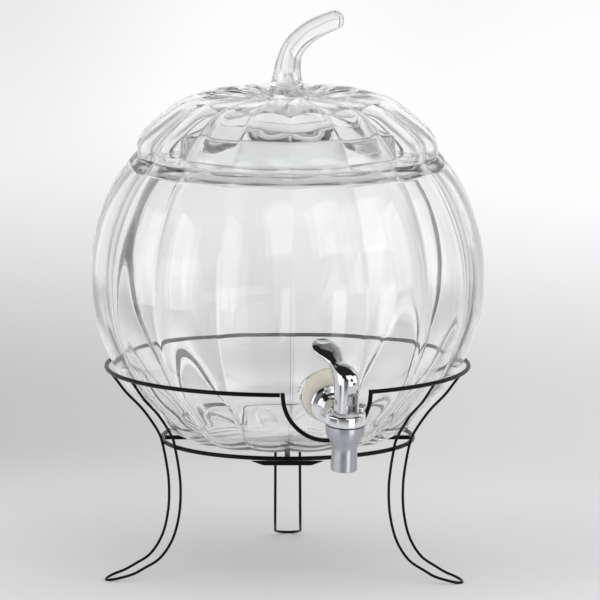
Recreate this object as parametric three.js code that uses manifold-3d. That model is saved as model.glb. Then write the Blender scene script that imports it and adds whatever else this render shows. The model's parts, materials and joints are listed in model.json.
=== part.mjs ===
// A pumpkin-shaped glass beverage dispenser on a black wire stand.
// Millimetres, +Z up, the front of the stand towards -Y.
import * as THREE from 'three';
import { mergeVertices } from 'three/addons/utils/BufferGeometryUtils.js';
import Module from 'manifold-3d';

const wasm = await Module();
wasm.setup();

const DEGREE = Math.PI / 180;
const seatGap = 0.3;
const overrun = 5;
const dropped = 1e-5;

// Jar
const jarRadius = 147.6;
const jarBodyHeight = 211.3;
const jarWall = 5.2;
const lobeCount = 16;
const lobeDepth = 5.5;
const innerLobeShare = 0.7;
const collarInset = 28.7;
const collarHeight = 19;
// radius, height and depth of lobe, from the foot of the jar to its seat for the lid
const jarOutlineShares = [
  [0.52, 0, 0.2],
  [0.616, 0.037, 0.6],
  [0.7, 0.1, 0.85],
  [0.826, 0.195, 1],
  [0.918, 0.309, 1],
  [0.98, 0.43, 1],
  [1, 0.563, 1],
  [0.986, 0.688, 1],
  [0.938, 0.808, 1],
  [0.863, 0.914, 0.95],
  [0.767, 1, 0.9],
];

// Lid
const lidHeight = 45.7;
const lidWall = 4.6;
const lidRimInset = 0.4;
// radius, height and depth of lobe, from the rim of the lid to the recess under its stem
const lidOutlineShares = [
  [1, 0, 0.9],
  [0.998, 0.14, 0.95],
  [0.974, 0.27, 1],
  [0.92, 0.425, 1],
  [0.818, 0.637, 1],
  [0.7, 0.836, 0.9],
  [0.55, 0.955, 0.75],
  [0.36, 1, 0.55],
  [0.24, 0.945, 0.3],
  [0.17, 0.9, 0],
];

// Lid stem
const stemHeight = 60;
const stemReach = 41.5;
const stemBaseRadius = 15;
const stemTipRadius = 6.6;
// reach and height of the bent centreline
const stemPathShares = [
  [0, 0],
  [0, 0.33],
  [0.05, 0.53],
  [0.13, 0.64],
  [0.28, 0.755],
  [0.48, 0.855],
  [0.76, 0.945],
  [1, 1],
];
// place along the stem, and thickness between the tip's and the base's
const stemTaperShares = [
  [0, 1],
  [0.05, 0.9],
  [0.12, 0.62],
  [0.24, 0.35],
  [0.4, 0.13],
  [0.6, 0.04],
  [0.92, 0],
];

// Wire stand
const ringWireRadius = 1.6;
const legWireRadius = 1;
const topRingClearance = 2.2;
const topRingHeight = 152;
const lowerRingOutset = 16.4;
const lowerRingHeight = 98;
const dipHalfWidth = 33;
const dipDrop = 28.9;
// turn round the stand, and how far the two wires of a leg splay at the lower ring and at the top ring
const legTurns = { left_leg: -68, right_leg: 63, back_leg: 180 };
const legRingSpacings = { left_leg: 26, right_leg: 26, back_leg: 18 };
const legTopSpacings = { left_leg: 42, right_leg: 42, back_leg: 17 };
const footSpacing = 19;
const footReach = 144;
const footLoopReach = 18;
const footLoopRise = 4.75;
const footFlat = 0.4;
const legTopStraight = 6;
const legClearance = 1.6;
// place between the lower ring and the top ring, upwards, where a leg follows the side of the jar
const upperLegShares = [0.46, 0.72];
// place between the lower ring and the leg's lowest point beside the jar, outwards and upwards
const legNeckShares = [0.05, 0.12];
// place between the foot's loop and the lower ring, inwards and upwards
const lowerLegShares = [
  [0.74, 0.04],
  [0.36, 0.11],
  [0.05, 0.25],
  [-0.12, 0.45],
  [-0.15, 0.68],
  [-0.08, 0.87],
];
const tabTurns = { left_tab: -90, right_tab: 90, front_tab: 0, back_tab: 180 };
const tabLength = 24;
const tabWidth = 4;
const tabThickness = 2.8;
const tabTaper = 6;
const braceLength = 53;
const braceTaper = 9;
const braceSetIn = 1.7;

// Spigot: its place on the jar, and its pieces along the pipe and along the barrel
const spigotTurn = 12.8;
const spigotTilt = 9;
const spigotHeight = 146.9;
const bossRadius = 22.5;
const bossRise = 4.5;
const bossWall = 7;
const recessRadius = 16;
const shankRadius = 7.7;
const shankClearance = 0.5;
const waterwayRadius = 5.5;
const outerWasherRadius = 20.5;
const outerWasherRise = 6;
const outerWasherThickness = 4.6;
const outerWasherCrown = 1.4;
const innerWasherRadius = 14.5;
const innerWasherThickness = 2.6;
const nutAcross = 26;
const nutThickness = 7;
const nutFlangeThickness = 2;
const shankStickOut = 3;
const shankChamfer = 0.6;
const flangeRadius = 14.9;
const flangeThickness = 4;
// radius between the pipe's and the flange's, and height up the flange
const flangeShares = [
  [1, 0.35],
  [0.75, 0.75],
  [0.23, 1],
  [0, 1.4],
];
const pipeRadius = 9;
const barrelReach = 55;
const barrelRadius = 10.6;
const barrelBore = 8.6;
const barrelTop = 6.5;
const barrelFloor = 9.2;
const barrelFloorThickness = 1.8;
const outletHoleRadius = 5;
const headRadius = 15;
const headFacets = 14;
const headTop = 10.2;
const headHeight = 8.6;
const headChamfer = 0.8;
const headRecessRadius = 13.1;
const nozzleLength = 34.6;
const nozzleTopRadius = 14.45;
const nozzleWaistRadius = 9.2;
const nozzleOutletRadius = 9.75;
const nozzleWall = 1.8;
const nozzleLip = 0.6;
// place down the nozzle, and radius between the waist's and the top's
const nozzleShoulderShares = [
  [0, 1],
  [0.12, 0.98],
  [0.24, 0.78],
  [0.36, 0.38],
  [0.49, 0.02],
];
// place down the nozzle, and radius between the waist's and the outlet's
const nozzleSkirtShares = [
  [0.75, 0.5],
  [0.96, 1],
];

// Valve inside the barrel, and the lever on top of it
const bonnetThickness = 1.8;
const bonnetPlugDepth = 3.3;
const camWasherRadius = 9.5;
const camWasherThickness = 1.1;
const stemRodRadius = 2.7;
const stemRodClearance = 0.4;
const stemShoulderRadius = 6;
const stemShoulderThickness = 0.8;
const seatCupRadius = 7;
const seatCupHeight = 4.3;
const seatCupSocket = 2.6;
const seatCupCone = 1.4;
const springRadius = 4.4;
const springWireRadius = 0.4;
const springTurns = 3;
const eyeWidth = 7.4;
const eyeDepth = 6.4;
const eyeRise = 3.4;
const pinRadius = 1.6;
const pinHeight = 8.7;
const pinInset = 0.4;
const leverSwing = 17;
const hoodRadius = 9.4;
const slotWidth = 8.6;
const slotHeight = 23;
const leverReach = 43;
const paddleWidth = 18;
const neckWidth = 9.6;
const neckReach = 14;
const paddleLength = 25;
const paddleTop = 44;
const dishDepth = 1.8;
const dishInset = 2.6;
// reach and height of the lever's upper side, from the hood to the tip, and back along its underside
const leverTopShares = [
  [-0.17, 0.67],
  [-0.05, 0.745],
  [0.09, 0.8],
  [0.26, 0.87],
  [0.45, 0.945],
  [0.68, 0.99],
  [0.88, 1],
  [1, 0.966],
];
const leverUnderShares = [
  [1, 0.93],
  [0.83, 0.897],
  [0.63, 0.854],
  [0.44, 0.756],
  [0.305, 0.61],
  [0.24, 0.45],
];
const hoodFrontShare = 0.57;
const hoodBackShare = 0.29;
const hoodArcEnd = 30;
const paddleArcStart = -40;

const glass = { color: 0xf2f5f5, roughness: 0.03, metalness: 0 };
const chrome = { color: 0xc9ccd0, roughness: 0.08, metalness: 1 };
const satin = { color: 0xb4b7bd, roughness: 0.35, metalness: 1 };
const blackWire = { color: 0x0a0a0a, roughness: 0.3, metalness: 0.4 };
const creamSilicone = { color: 0xe6dfcd, roughness: 0.6, metalness: 0 };
const whitePlastic = { color: 0xefeeea, roughness: 0.45, metalness: 0 };
const steel = { color: 0xa8abb0, roughness: 0.3, metalness: 1 };

// Fine counts for round things.
const lobeSteps = 4;
const innerLobeSteps = 3;
const jarRows = 18;
const innerJarRows = 8;
const lidRows = 9;
const innerLidRows = 6;
const roundSides = 24;
const smallSides = 16;
const ringSteps = 40;
const ringSides = 8;
const legSteps = 58;
const legSides = 6;
const footLoopSteps = 6;
const dipSteps = 12;
const stemTipSteps = 3;
const springSides = 5;
const springTurnSteps = 10;
const leverTopSteps = 16;
const leverUnderSteps = 12;
const leverArcSteps = 8;
const fineRows = 72;

// A closed solid from a three.js geometry, with its faces pointing out.
function solid(geometry) {
  const bare = geometry.clone();
  bare.deleteAttribute('normal');
  bare.deleteAttribute('uv');
  const merged = mergeVertices(bare, dropped);
  const place = merged.attributes.position;
  const corners = [];
  let volume = 0;
  for (let i = 0; i < merged.index.count; i += 3) {
    const [a, b, c] = [0, 1, 2].map((k) => merged.index.getX(i + k));
    if (a === b || b === c || c === a) continue;
    corners.push(a, b, c);
    const [p, q, r] = [a, b, c].map((k) => new THREE.Vector3().fromBufferAttribute(place, k));
    volume += p.dot(q.cross(r));
  }
  if (volume < 0) corners.reverse();
  return new wasm.Manifold(
    new wasm.Mesh({ numProp: 3, vertProperties: place.array, triVerts: new Uint32Array(corners) }),
  );
}

function geometryOf(body) {
  const { vertProperties, triVerts } = body.getMesh();
  const geometry = new THREE.BufferGeometry();
  geometry.setAttribute('position', new THREE.BufferAttribute(vertProperties, 3));
  geometry.setIndex(new THREE.BufferAttribute(triVerts, 1));
  const flat = geometry.toNonIndexed();
  flat.computeVertexNormals();
  return flat;
}

function piece(name, geometry, look) {
  const mesh = new THREE.Mesh(geometryOf(solid(geometry)), new THREE.MeshStandardMaterial(look));
  mesh.name = name;
  return mesh;
}

function cut(geometry, ...tools) {
  return geometryOf(tools.reduce((left, tool) => left.subtract(solid(tool)), solid(geometry)));
}

function joined(...geometries) {
  return geometryOf(geometries.slice(1).reduce((sum, more) => sum.add(solid(more)), solid(geometries[0])));
}

function shared(first, second) {
  return geometryOf(solid(first).intersect(solid(second)));
}

// A revolved solid about +Z from (radius, height) points that start and end on the axis.
function turned(points, sides = roundSides) {
  const profile = points.map(([radius, height]) => new THREE.Vector2(radius, height));
  return new THREE.LatheGeometry(profile, sides).rotateX(Math.PI / 2);
}

function disc(radius, bottom, top, sides = roundSides) {
  return turned([[0, bottom], [radius, bottom], [radius, top], [0, top]], sides);
}

function washer(radius, hole, bottom, top, sides = roundSides) {
  const section = [[hole, bottom], [radius, bottom], [radius, top], [hole, top], [hole, bottom]];
  return turned(section, sides);
}

// Turns a solid made about +Z so that its top points outwards along the spigot's pipe.
function alongPipe(geometry) {
  return geometry.rotateX(Math.PI / 2);
}

// Rows of an outline: a smooth curve through shares of a radius and a height.
function outlineRows(shares, radius, height, bottom, count, inset = 0) {
  const curve = new THREE.CatmullRomCurve3(
    shares.map(([out, up]) => new THREE.Vector3(out * radius, up * height, 0)),
    false,
    'centripetal',
  );
  const lobes = new THREE.CatmullRomCurve3(
    shares.map(([, , lobe], i) => new THREE.Vector3(i, lobe, 0)),
    false,
    'centripetal',
  );
  return Array.from({ length: count + 1 }, (_, i) => {
    const t = i / count;
    const at = curve.getPoint(t);
    const along = curve.getTangent(t);
    const normal = new THREE.Vector2(along.y, -along.x);
    return {
      radius: at.x - normal.x * inset,
      height: bottom + at.y - normal.y * inset,
      normal,
      lobe: Math.max(lobes.getPoint(t).y, 0),
    };
  });
}

// A revolved solid whose side is pressed into lobes with a sharp valley between each two.
function lobed(rows, stepsPerLobe, depth) {
  const profile = rows.map((row) => new THREE.Vector2(row.radius, row.height));
  const geometry = new THREE.LatheGeometry(profile, lobeCount * stepsPerLobe);
  const place = geometry.attributes.position;
  for (let i = 0; i < place.count; i += 1) {
    const row = rows[i % rows.length];
    const step = Math.floor(i / rows.length);
    const valley = 1 - Math.sin((Math.PI * (step % stepsPerLobe)) / stepsPerLobe);
    const press = depth * row.lobe * valley;
    const around = lobeCount * stepsPerLobe;
    const turn = (2 * Math.PI * (step % around)) / around;
    const radius = row.radius - row.normal.x * press;
    place.setXYZ(i, radius * Math.sin(turn), row.height - row.normal.y * press, radius * Math.cos(turn));
  }
  const firstValley = (spigotTurn * DEGREE) - Math.PI / lobeCount;
  return geometry.rotateX(Math.PI / 2).rotateZ(firstValley);
}

const onAxis = (height) => ({ radius: 0, height, normal: new THREE.Vector2(0, 1), lobe: 0 });
const plainRow = (radius, height) => ({ radius, height, normal: new THREE.Vector2(1, 0), lobe: 0 });

const jarBottom = lowerRingHeight + tabThickness / 2 + seatGap;
const jarSeat = jarBottom + jarBodyHeight;
const jarRim = jarSeat + collarHeight;
const seatRadius = jarOutlineShares.at(-1)[0] * jarRadius;

const collarRadius = seatRadius - collarInset;

// The jar's outer radius at a height, between its lobes' crests.
const fineJarRows = outlineRows(jarOutlineShares, jarRadius, jarBodyHeight, jarBottom, fineRows);
const jarRadiusAt = (height) => fineJarRows.find((row) => row.height > height).radius;
const topRingRadius = jarRadiusAt(topRingHeight + ringWireRadius) + topRingClearance + ringWireRadius;
const lowerRingRadius = jarOutlineShares[0][0] * jarRadius + lowerRingOutset;
const dipDepth = topRingHeight - (spigotHeight - dipDrop);

// The frame of the spigot: its origin on the boss, its pipe running out along -Y.
function bossDistance() {
  const tilt = spigotTilt * DEGREE;
  const edge = bossRise + bossRadius;
  const edgeHeight = spigotHeight + edge * Math.cos(tilt);
  return jarRadiusAt(edgeHeight) - edge * Math.sin(tilt);
}

function spigotMatrix() {
  const turn = new THREE.Matrix4().makeRotationZ(spigotTurn * DEGREE);
  const move = new THREE.Matrix4().makeTranslation(0, -bossDistance(), spigotHeight);
  const tilt = new THREE.Matrix4().makeRotationX(spigotTilt * DEGREE);
  return turn.multiply(move).multiply(tilt);
}

function jar() {
  const outerRows = outlineRows(jarOutlineShares, jarRadius, jarBodyHeight, jarBottom, jarRows);
  const outer = lobed(
    [
      onAxis(jarBottom),
      ...outerRows,
      plainRow(seatRadius - 2 * lobeDepth, jarSeat),
      plainRow(collarRadius, jarSeat),
      plainRow(collarRadius, jarRim),
      onAxis(jarRim),
    ],
    lobeSteps,
    lobeDepth,
  );
  const wallRows = outlineRows(jarOutlineShares, jarRadius, jarBodyHeight, jarBottom, innerJarRows, jarWall);
  const underSeat = jarSeat - jarWall;
  const insideRows = wallRows.filter((row) => row.height < underSeat - jarWall / 2);
  const throat = collarRadius - jarWall;
  const inner = lobed(
    [
      onAxis(jarBottom + jarWall),
      ...insideRows,
      plainRow(seatRadius - 2 * lobeDepth - jarWall, underSeat),
      plainRow(throat, underSeat),
      plainRow(throat, jarRim + overrun),
      onAxis(jarRim + overrun),
    ],
    innerLobeSteps,
    lobeDepth * innerLobeShare,
  );
  const toJar = spigotMatrix();
  const inward = bossRadius + barrelReach;
  const onBoss = (geometry) => alongPipe(geometry).applyMatrix4(toJar);
  const boss = onBoss(disc(bossRadius, -inward, 0).translate(0, bossRise, 0));
  const recess = onBoss(disc(recessRadius, -inward, -bossWall));
  const bore = onBoss(disc(shankRadius + shankClearance, -inward, overrun));
  return cut(joined(outer, boss), inner, recess, bore);
}

const lidRadius = seatRadius - lidRimInset;
const lidBottom = jarSeat + seatGap;
const lidRecess = lidBottom + lidOutlineShares.at(-1)[1] * lidHeight;

function lid() {
  const outerRows = outlineRows(lidOutlineShares, lidRadius, lidHeight, lidBottom, lidRows);
  outerRows[0].normal.set(1, 0);
  const outer = lobed([onAxis(lidBottom), ...outerRows, onAxis(lidRecess)], lobeSteps, lobeDepth);
  const innerRows = outlineRows(lidOutlineShares, lidRadius, lidHeight, lidBottom, innerLidRows, lidWall);
  const below = { ...innerRows[0], height: lidBottom - overrun };
  const inner = lobed(
    [onAxis(below.height), below, ...innerRows, onAxis(innerRows.at(-1).height)],
    innerLobeSteps,
    lobeDepth * innerLobeShare,
  );
  return cut(outer, inner);
}

// Bends a solid made about +Y, from 0 to 1 along it, round a curve in the XZ plane.
function bent(geometry, curve) {
  const place = geometry.attributes.position;
  for (let i = 0; i < place.count; i += 1) {
    const share = Math.min(Math.max(place.getY(i), 0), 1);
    const at = curve.getPointAt(share);
    const along = curve.getTangentAt(share);
    const side = new THREE.Vector3(along.z, 0, -along.x);
    at.addScaledVector(side, place.getX(i));
    place.setXYZ(i, at.x, at.y + place.getZ(i), at.z);
  }
  return geometry;
}

function lidStem() {
  const bottom = lidRecess + seatGap;
  const curve = new THREE.CatmullRomCurve3(
    stemPathShares.map(([out, up]) => new THREE.Vector3(out * stemReach, 0, bottom + up * stemHeight)),
    false,
    'centripetal',
  );
  const swell = stemBaseRadius - stemTipRadius;
  const profile = [new THREE.Vector2(0, 0)];
  for (const [along, thick] of stemTaperShares) {
    profile.push(new THREE.Vector2(stemTipRadius + swell * thick, along));
  }
  const tipStart = stemTaperShares.at(-1)[0];
  for (let i = 1; i <= stemTipSteps; i += 1) {
    const turn = (Math.PI / 2) * (i / stemTipSteps);
    const radius = i === stemTipSteps ? 0 : stemTipRadius * Math.cos(turn);
    profile.push(new THREE.Vector2(radius, tipStart + (1 - tipStart) * Math.sin(turn)));
  }
  return bent(new THREE.LatheGeometry(profile, smallSides), curve);
}

// A round wire along a curve.
function wire(path, radius, sides, steps) {
  const section = Array.from({ length: sides }, (_, i) => {
    const turn = (2 * Math.PI * (i + 1 / 2)) / sides;
    return new THREE.Vector2(radius * Math.cos(turn), radius * Math.sin(turn));
  });
  const sweep = { steps, extrudePath: path, bevelEnabled: false };
  return new THREE.ExtrudeGeometry(new THREE.Shape(section), sweep);
}

class PlottedPath extends THREE.Curve {
  constructor(pointAt) {
    super();
    this.pointAt = pointAt;
  }

  getPoint(t, target = new THREE.Vector3()) {
    return target.copy(this.pointAt(t));
  }
}

// A point at a turn from the front, a distance from the stand's axis and a height.
function around(turn, radius, height) {
  return new THREE.Vector3(radius * Math.sin(turn), -radius * Math.cos(turn), height);
}

function topRing() {
  const halfOpening = Math.asin((dipHalfWidth + ringWireRadius + seatGap) / topRingRadius);
  const start = spigotTurn * DEGREE + halfOpening;
  const sweep = 2 * (Math.PI - halfOpening);
  const path = new PlottedPath((t) => around(start + sweep * t, topRingRadius, topRingHeight));
  return wire(path, ringWireRadius, ringSides, ringSteps);
}

function spigotDip() {
  const onRing = (across, height) => {
    const turn = spigotTurn * DEGREE + Math.asin(across / topRingRadius);
    return around(turn, topRingRadius, height);
  };
  const points = [onRing(dipHalfWidth, topRingHeight + ringWireRadius)];
  for (let i = 0; i <= dipSteps; i += 1) {
    const turn = (Math.PI * i) / dipSteps;
    points.push(onRing(dipHalfWidth * Math.cos(turn), topRingHeight - dipDepth * Math.sin(turn)));
  }
  points.push(onRing(-dipHalfWidth, topRingHeight + ringWireRadius));
  const path = new THREE.CatmullRomCurve3(points, false, 'centripetal');
  return wire(path, ringWireRadius, ringSides, 2 * dipSteps);
}

function lowerRing() {
  const ring = new THREE.TorusGeometry(lowerRingRadius, ringWireRadius, ringSides, ringSteps);
  return ring.translate(0, 0, lowerRingHeight);
}

// One hairpin leg at the front, before it is turned to its place round the stand.
function leg(ringSpacing, topSpacing) {
  const footHeight = legWireRadius - footFlat;
  const halfSpacing = (height) => {
    if (height > lowerRingHeight) {
      const up = (height - lowerRingHeight) / (topRingHeight - lowerRingHeight);
      return (ringSpacing + (topSpacing - ringSpacing) * up) / 2;
    }
    const loopHeight = footHeight + footLoopRise;
    const up = Math.max(height - loopHeight, 0) / (lowerRingHeight - loopHeight);
    return (footSpacing + (ringSpacing - footSpacing) * up) / 2;
  };
  const outFrom = (radius, height) => Math.sqrt(radius ** 2 - halfSpacing(height) ** 2);
  const facetRadius = lowerRingRadius * Math.cos(Math.PI / ringSteps);
  const hugging = facetRadius + ringWireRadius + seatGap + legWireRadius;
  const contact = new THREE.Vector2(outFrom(hugging, lowerRingHeight), lowerRingHeight);
  const ringMiddle = new THREE.Vector2(outFrom(topRingRadius, topRingHeight), topRingHeight);
  const bend = new THREE.Vector2(footReach - footLoopReach, footHeight + footLoopRise);
  const besideJar = upperLegShares.map((up) => {
    const height = lowerRingHeight + (topRingHeight - lowerRingHeight) * up;
    return new THREE.Vector2(outFrom(jarRadiusAt(height) + legClearance + legWireRadius, height), height);
  });
  const neck = new THREE.Vector2(
    contact.x + (ringMiddle.x - contact.x) * legNeckShares[0],
    contact.y + (ringMiddle.y - contact.y) * legNeckShares[1],
  );
  const fall = contact.clone().sub(bend);
  const lower = lowerLegShares.map(
    ([out, up]) => new THREE.Vector2(contact.x - fall.x * out, bend.y + fall.y * up),
  );
  const heading = ringMiddle.clone().sub(besideJar.at(-1)).normalize();
  const end = ringMiddle.clone().addScaledVector(heading, -(ringWireRadius + seatGap));
  const straight = end.clone().addScaledVector(heading, -legTopStraight);
  const side = [bend, ...lower, contact, neck, ...besideJar, straight, end];
  const place = (point, sign) => new THREE.Vector3(sign * halfSpacing(point.y), -point.x, point.y);
  const loop = [];
  for (let i = 1; i < footLoopSteps; i += 1) {
    const turn = (Math.PI * i) / footLoopSteps;
    const height = bend.y - footLoopRise * Math.sin(turn);
    const across = (-footSpacing / 2) * Math.cos(turn);
    loop.push(new THREE.Vector3(across, -(bend.x + footLoopReach * Math.sin(turn)), height));
  }
  const points = [
    ...side.toReversed().map((point) => place(point, -1)),
    ...loop,
    ...side.map((point) => place(point, 1)),
  ];
  const path = new THREE.CatmullRomCurve3(points, false, 'centripetal');
  const floor = new THREE.BoxGeometry(2 * footReach, 2 * footReach, overrun);
  floor.translate(0, -footReach, -overrun / 2);
  return cut(wire(path, legWireRadius, legSides, legSteps), floor);
}

// A support tab inside the lower ring at the front, bevelled under its inner end.
function tab() {
  const outer = lowerRingRadius - ringWireRadius - seatGap;
  const half = tabThickness / 2;
  const outline = new THREE.Shape([
    new THREE.Vector2(outer, -half),
    new THREE.Vector2(outer, half),
    new THREE.Vector2(outer - tabLength, half),
    new THREE.Vector2(outer - tabLength + tabTaper, -half),
  ]);
  const bar = new THREE.ExtrudeGeometry(outline, { depth: tabWidth, bevelEnabled: false });
  bar.translate(0, 0, -tabWidth / 2);
  return bar.rotateX(Math.PI / 2).rotateZ(-Math.PI / 2).translate(0, 0, lowerRingHeight);
}

function frontBrace() {
  const half = braceLength / 2;
  const thick = ringWireRadius;
  const outline = new THREE.Shape([
    new THREE.Vector2(-half, thick),
    new THREE.Vector2(braceTaper - half, -thick),
    new THREE.Vector2(half - braceTaper, -thick),
    new THREE.Vector2(half, thick),
  ]);
  const bar = new THREE.ExtrudeGeometry(outline, { depth: 2 * thick, bevelEnabled: false });
  bar.translate(0, 0, -thick).rotateX(Math.PI / 2);
  return bar.translate(0, braceSetIn - lowerRingRadius, lowerRingHeight - 2 * thick - seatGap);
}

// Places along the pipe, outwards from the boss.
const washerFace = seatGap + outerWasherThickness;
const flangeBack = washerFace + seatGap;
const innerWasherEnd = -(bossWall + seatGap + innerWasherThickness);
const nutStart = innerWasherEnd - seatGap;
const shankEnd = nutStart - nutThickness - shankStickOut;
const shankHole = shankRadius + shankClearance;

// Heights along the barrel, from the pipe's axis.
const headBottom = headTop - headHeight;
const nozzleTop = headBottom - seatGap;
const cavityFloor = barrelFloorThickness - barrelFloor;
const bonnetBottom = barrelTop + seatGap;
const bonnetTop = bonnetBottom + bonnetThickness;
const camWasherBottom = bonnetTop + seatGap;
const forkBottom = camWasherBottom + camWasherThickness + seatGap;
const pinLevel = forkBottom + pinHeight;
const cupBottom = cavityFloor + seatGap;
const cupTop = cupBottom + seatCupHeight;
const shoulderBottom = cupTop + seatGap;
const shoulderTop = shoulderBottom + stemShoulderThickness;

function outerWasher() {
  const rim = washerFace - outerWasherCrown;
  const roundedRadius = outerWasherRadius - outerWasherCrown / 2;
  const crowned = turned([
    [0, seatGap],
    [roundedRadius, seatGap],
    [outerWasherRadius, seatGap + outerWasherCrown / 2],
    [outerWasherRadius, rim - outerWasherCrown / 2],
    [roundedRadius, rim],
    [flangeRadius, washerFace],
    [0, washerFace],
  ]);
  crowned.translate(0, outerWasherRise, 0);
  return alongPipe(cut(crowned, disc(shankHole, -overrun, washerFace + overrun)));
}

function innerWasher() {
  return alongPipe(washer(innerWasherRadius, shankHole, innerWasherEnd, -(bossWall + seatGap)));
}

// A flanged hexagon nut on the shank.
function lockNut() {
  const flange = disc(innerWasherRadius, nutStart - nutFlangeThickness, nutStart);
  const corner = nutAcross / 2 / Math.cos(Math.PI / 6);
  const hexagon = disc(corner, nutStart - nutThickness, nutStart - nutFlangeThickness / 2, 6);
  const hole = disc(shankRadius + seatGap, nutStart - nutThickness - overrun, nutStart + overrun);
  return alongPipe(cut(joined(flange, hexagon), hole));
}

// Shank, flange, pipe, barrel and faceted head as one casting, with its waterway.
function spigotBody() {
  const pipe = turned([
    [0, shankEnd],
    [shankRadius - shankChamfer, shankEnd],
    [shankRadius, shankEnd + shankChamfer],
    [shankRadius, flangeBack],
    [flangeRadius, flangeBack],
    ...flangeShares.map(([out, up]) => [
      pipeRadius + (flangeRadius - pipeRadius) * out,
      flangeBack + flangeThickness * up,
    ]),
    [pipeRadius, barrelReach],
    [0, barrelReach],
  ]);
  const barrel = disc(barrelRadius, -barrelFloor, headTop - headChamfer).translate(0, -barrelReach, 0);
  const head = turned(
    [
      [0, headBottom],
      [headRadius - headChamfer, headBottom],
      [headRadius, headBottom + headChamfer],
      [headRadius, headTop - headChamfer],
      [headRadius - headChamfer, headTop],
      [0, headTop],
    ],
    headFacets,
  ).translate(0, -barrelReach, 0);
  const onBarrel = (radius, bottom, top) => disc(radius, bottom, top).translate(0, -barrelReach, 0);
  return cut(
    joined(alongPipe(pipe), barrel, head),
    onBarrel(barrelBore, cavityFloor, headTop),
    onBarrel(headRecessRadius, barrelTop, headTop + overrun),
    onBarrel(outletHoleRadius, -barrelFloor - overrun, cavityFloor + seatGap),
    alongPipe(disc(waterwayRadius, shankEnd - overrun, barrelReach)),
  );
}

// The outlet sleeve on the barrel, notched behind for the pipe.
function nozzle() {
  const bottom = nozzleTop - nozzleLength;
  const swell = nozzleTopRadius - nozzleWaistRadius;
  const flare = nozzleOutletRadius - nozzleWaistRadius;
  const down = (share) => nozzleTop - nozzleLength * share;
  const row = (rise) => ([along, thick]) => [nozzleWaistRadius + rise * thick, down(along)];
  const shoulder = nozzleShoulderShares.map(row(swell));
  const skirt = nozzleSkirtShares.map(row(flare));
  const sleeve = barrelRadius + seatGap;
  const ledge = -barrelFloor - seatGap;
  const outlet = nozzleOutletRadius - nozzleWall;
  const throat = nozzleWaistRadius - nozzleWall;
  const body = turned([
    [sleeve, nozzleTop],
    ...shoulder,
    ...skirt,
    [nozzleOutletRadius - nozzleLip, bottom],
    [outlet, bottom],
    [throat, down(nozzleShoulderShares.at(-1)[0])],
    [sleeve - nozzleWall, ledge],
    [sleeve, ledge],
    [sleeve, nozzleTop],
  ]);
  const notchRadius = pipeRadius + seatGap;
  const notch = alongPipe(disc(notchRadius, -barrelReach, 0));
  const slot = new THREE.BoxGeometry(2 * notchRadius, barrelReach, nozzleTop + overrun);
  slot.translate(0, barrelReach / 2, (nozzleTop + overrun) / 2);
  return cut(body, notch, slot);
}

function bonnet() {
  const plugRadius = barrelBore - seatGap;
  const section = turned([
    [0, bonnetBottom - bonnetPlugDepth],
    [plugRadius, bonnetBottom - bonnetPlugDepth],
    [plugRadius, bonnetBottom],
    [headRecessRadius - seatGap, bonnetBottom],
    [headRecessRadius - seatGap, bonnetTop],
    [0, bonnetTop],
  ]);
  const bore = disc(stemRodRadius + stemRodClearance, -barrelFloor, bonnetTop + overrun, smallSides);
  return cut(section, bore);
}

function camWasher() {
  const hole = stemRodRadius + stemRodClearance;
  return washer(camWasherRadius, hole, camWasherBottom, camWasherBottom + camWasherThickness);
}

function valveStem() {
  const rodBottom = cupTop - seatCupSocket + seatGap;
  const rod = turned(
    [
      [0, rodBottom],
      [stemRodRadius, rodBottom],
      [stemRodRadius, shoulderBottom],
      [stemShoulderRadius, shoulderBottom],
      [stemShoulderRadius, shoulderTop],
      [stemRodRadius, shoulderTop],
      [stemRodRadius, pinLevel],
      [0, pinLevel],
    ],
    smallSides,
  );
  const eye = new THREE.BoxGeometry(eyeWidth, eyeDepth, 2 * eyeRise).translate(0, 0, pinLevel);
  return cut(joined(rod, eye), pinHole(pinRadius + seatGap));
}

function pinHole(radius) {
  const hole = new THREE.CylinderGeometry(radius, radius, 2 * (hoodRadius + overrun), smallSides);
  return hole.rotateZ(Math.PI / 2).translate(0, 0, pinLevel);
}

function seatCup() {
  const cup = turned([
    [0, cupBottom],
    [outletHoleRadius + seatGap, cupBottom],
    [seatCupRadius, cupBottom + seatCupCone],
    [seatCupRadius, cupTop],
    [0, cupTop],
  ]);
  return cut(cup, disc(stemRodRadius + seatGap, cupTop - seatCupSocket, cupTop + overrun, smallSides));
}

function valveSpring() {
  const bottom = shoulderTop + seatGap + springWireRadius;
  const top = bonnetBottom - bonnetPlugDepth - seatGap - springWireRadius;
  const path = new PlottedPath((t) => {
    const turn = 2 * Math.PI * springTurns * t;
    const height = bottom + (top - bottom) * t;
    return new THREE.Vector3(springRadius * Math.cos(turn), springRadius * Math.sin(turn), height);
  });
  return wire(path, springWireRadius, springSides, springTurns * springTurnSteps);
}

// Points along part of an ellipse about a middle on the Y axis, from one turn to another in degrees.
function arc(across, along, middle, from, to) {
  return Array.from({ length: leverArcSteps + 1 }, (_, i) => {
    const turn = (from + ((to - from) * i) / leverArcSteps) * DEGREE;
    return [across * Math.cos(turn), middle + along * Math.sin(turn)];
  });
}

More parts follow.
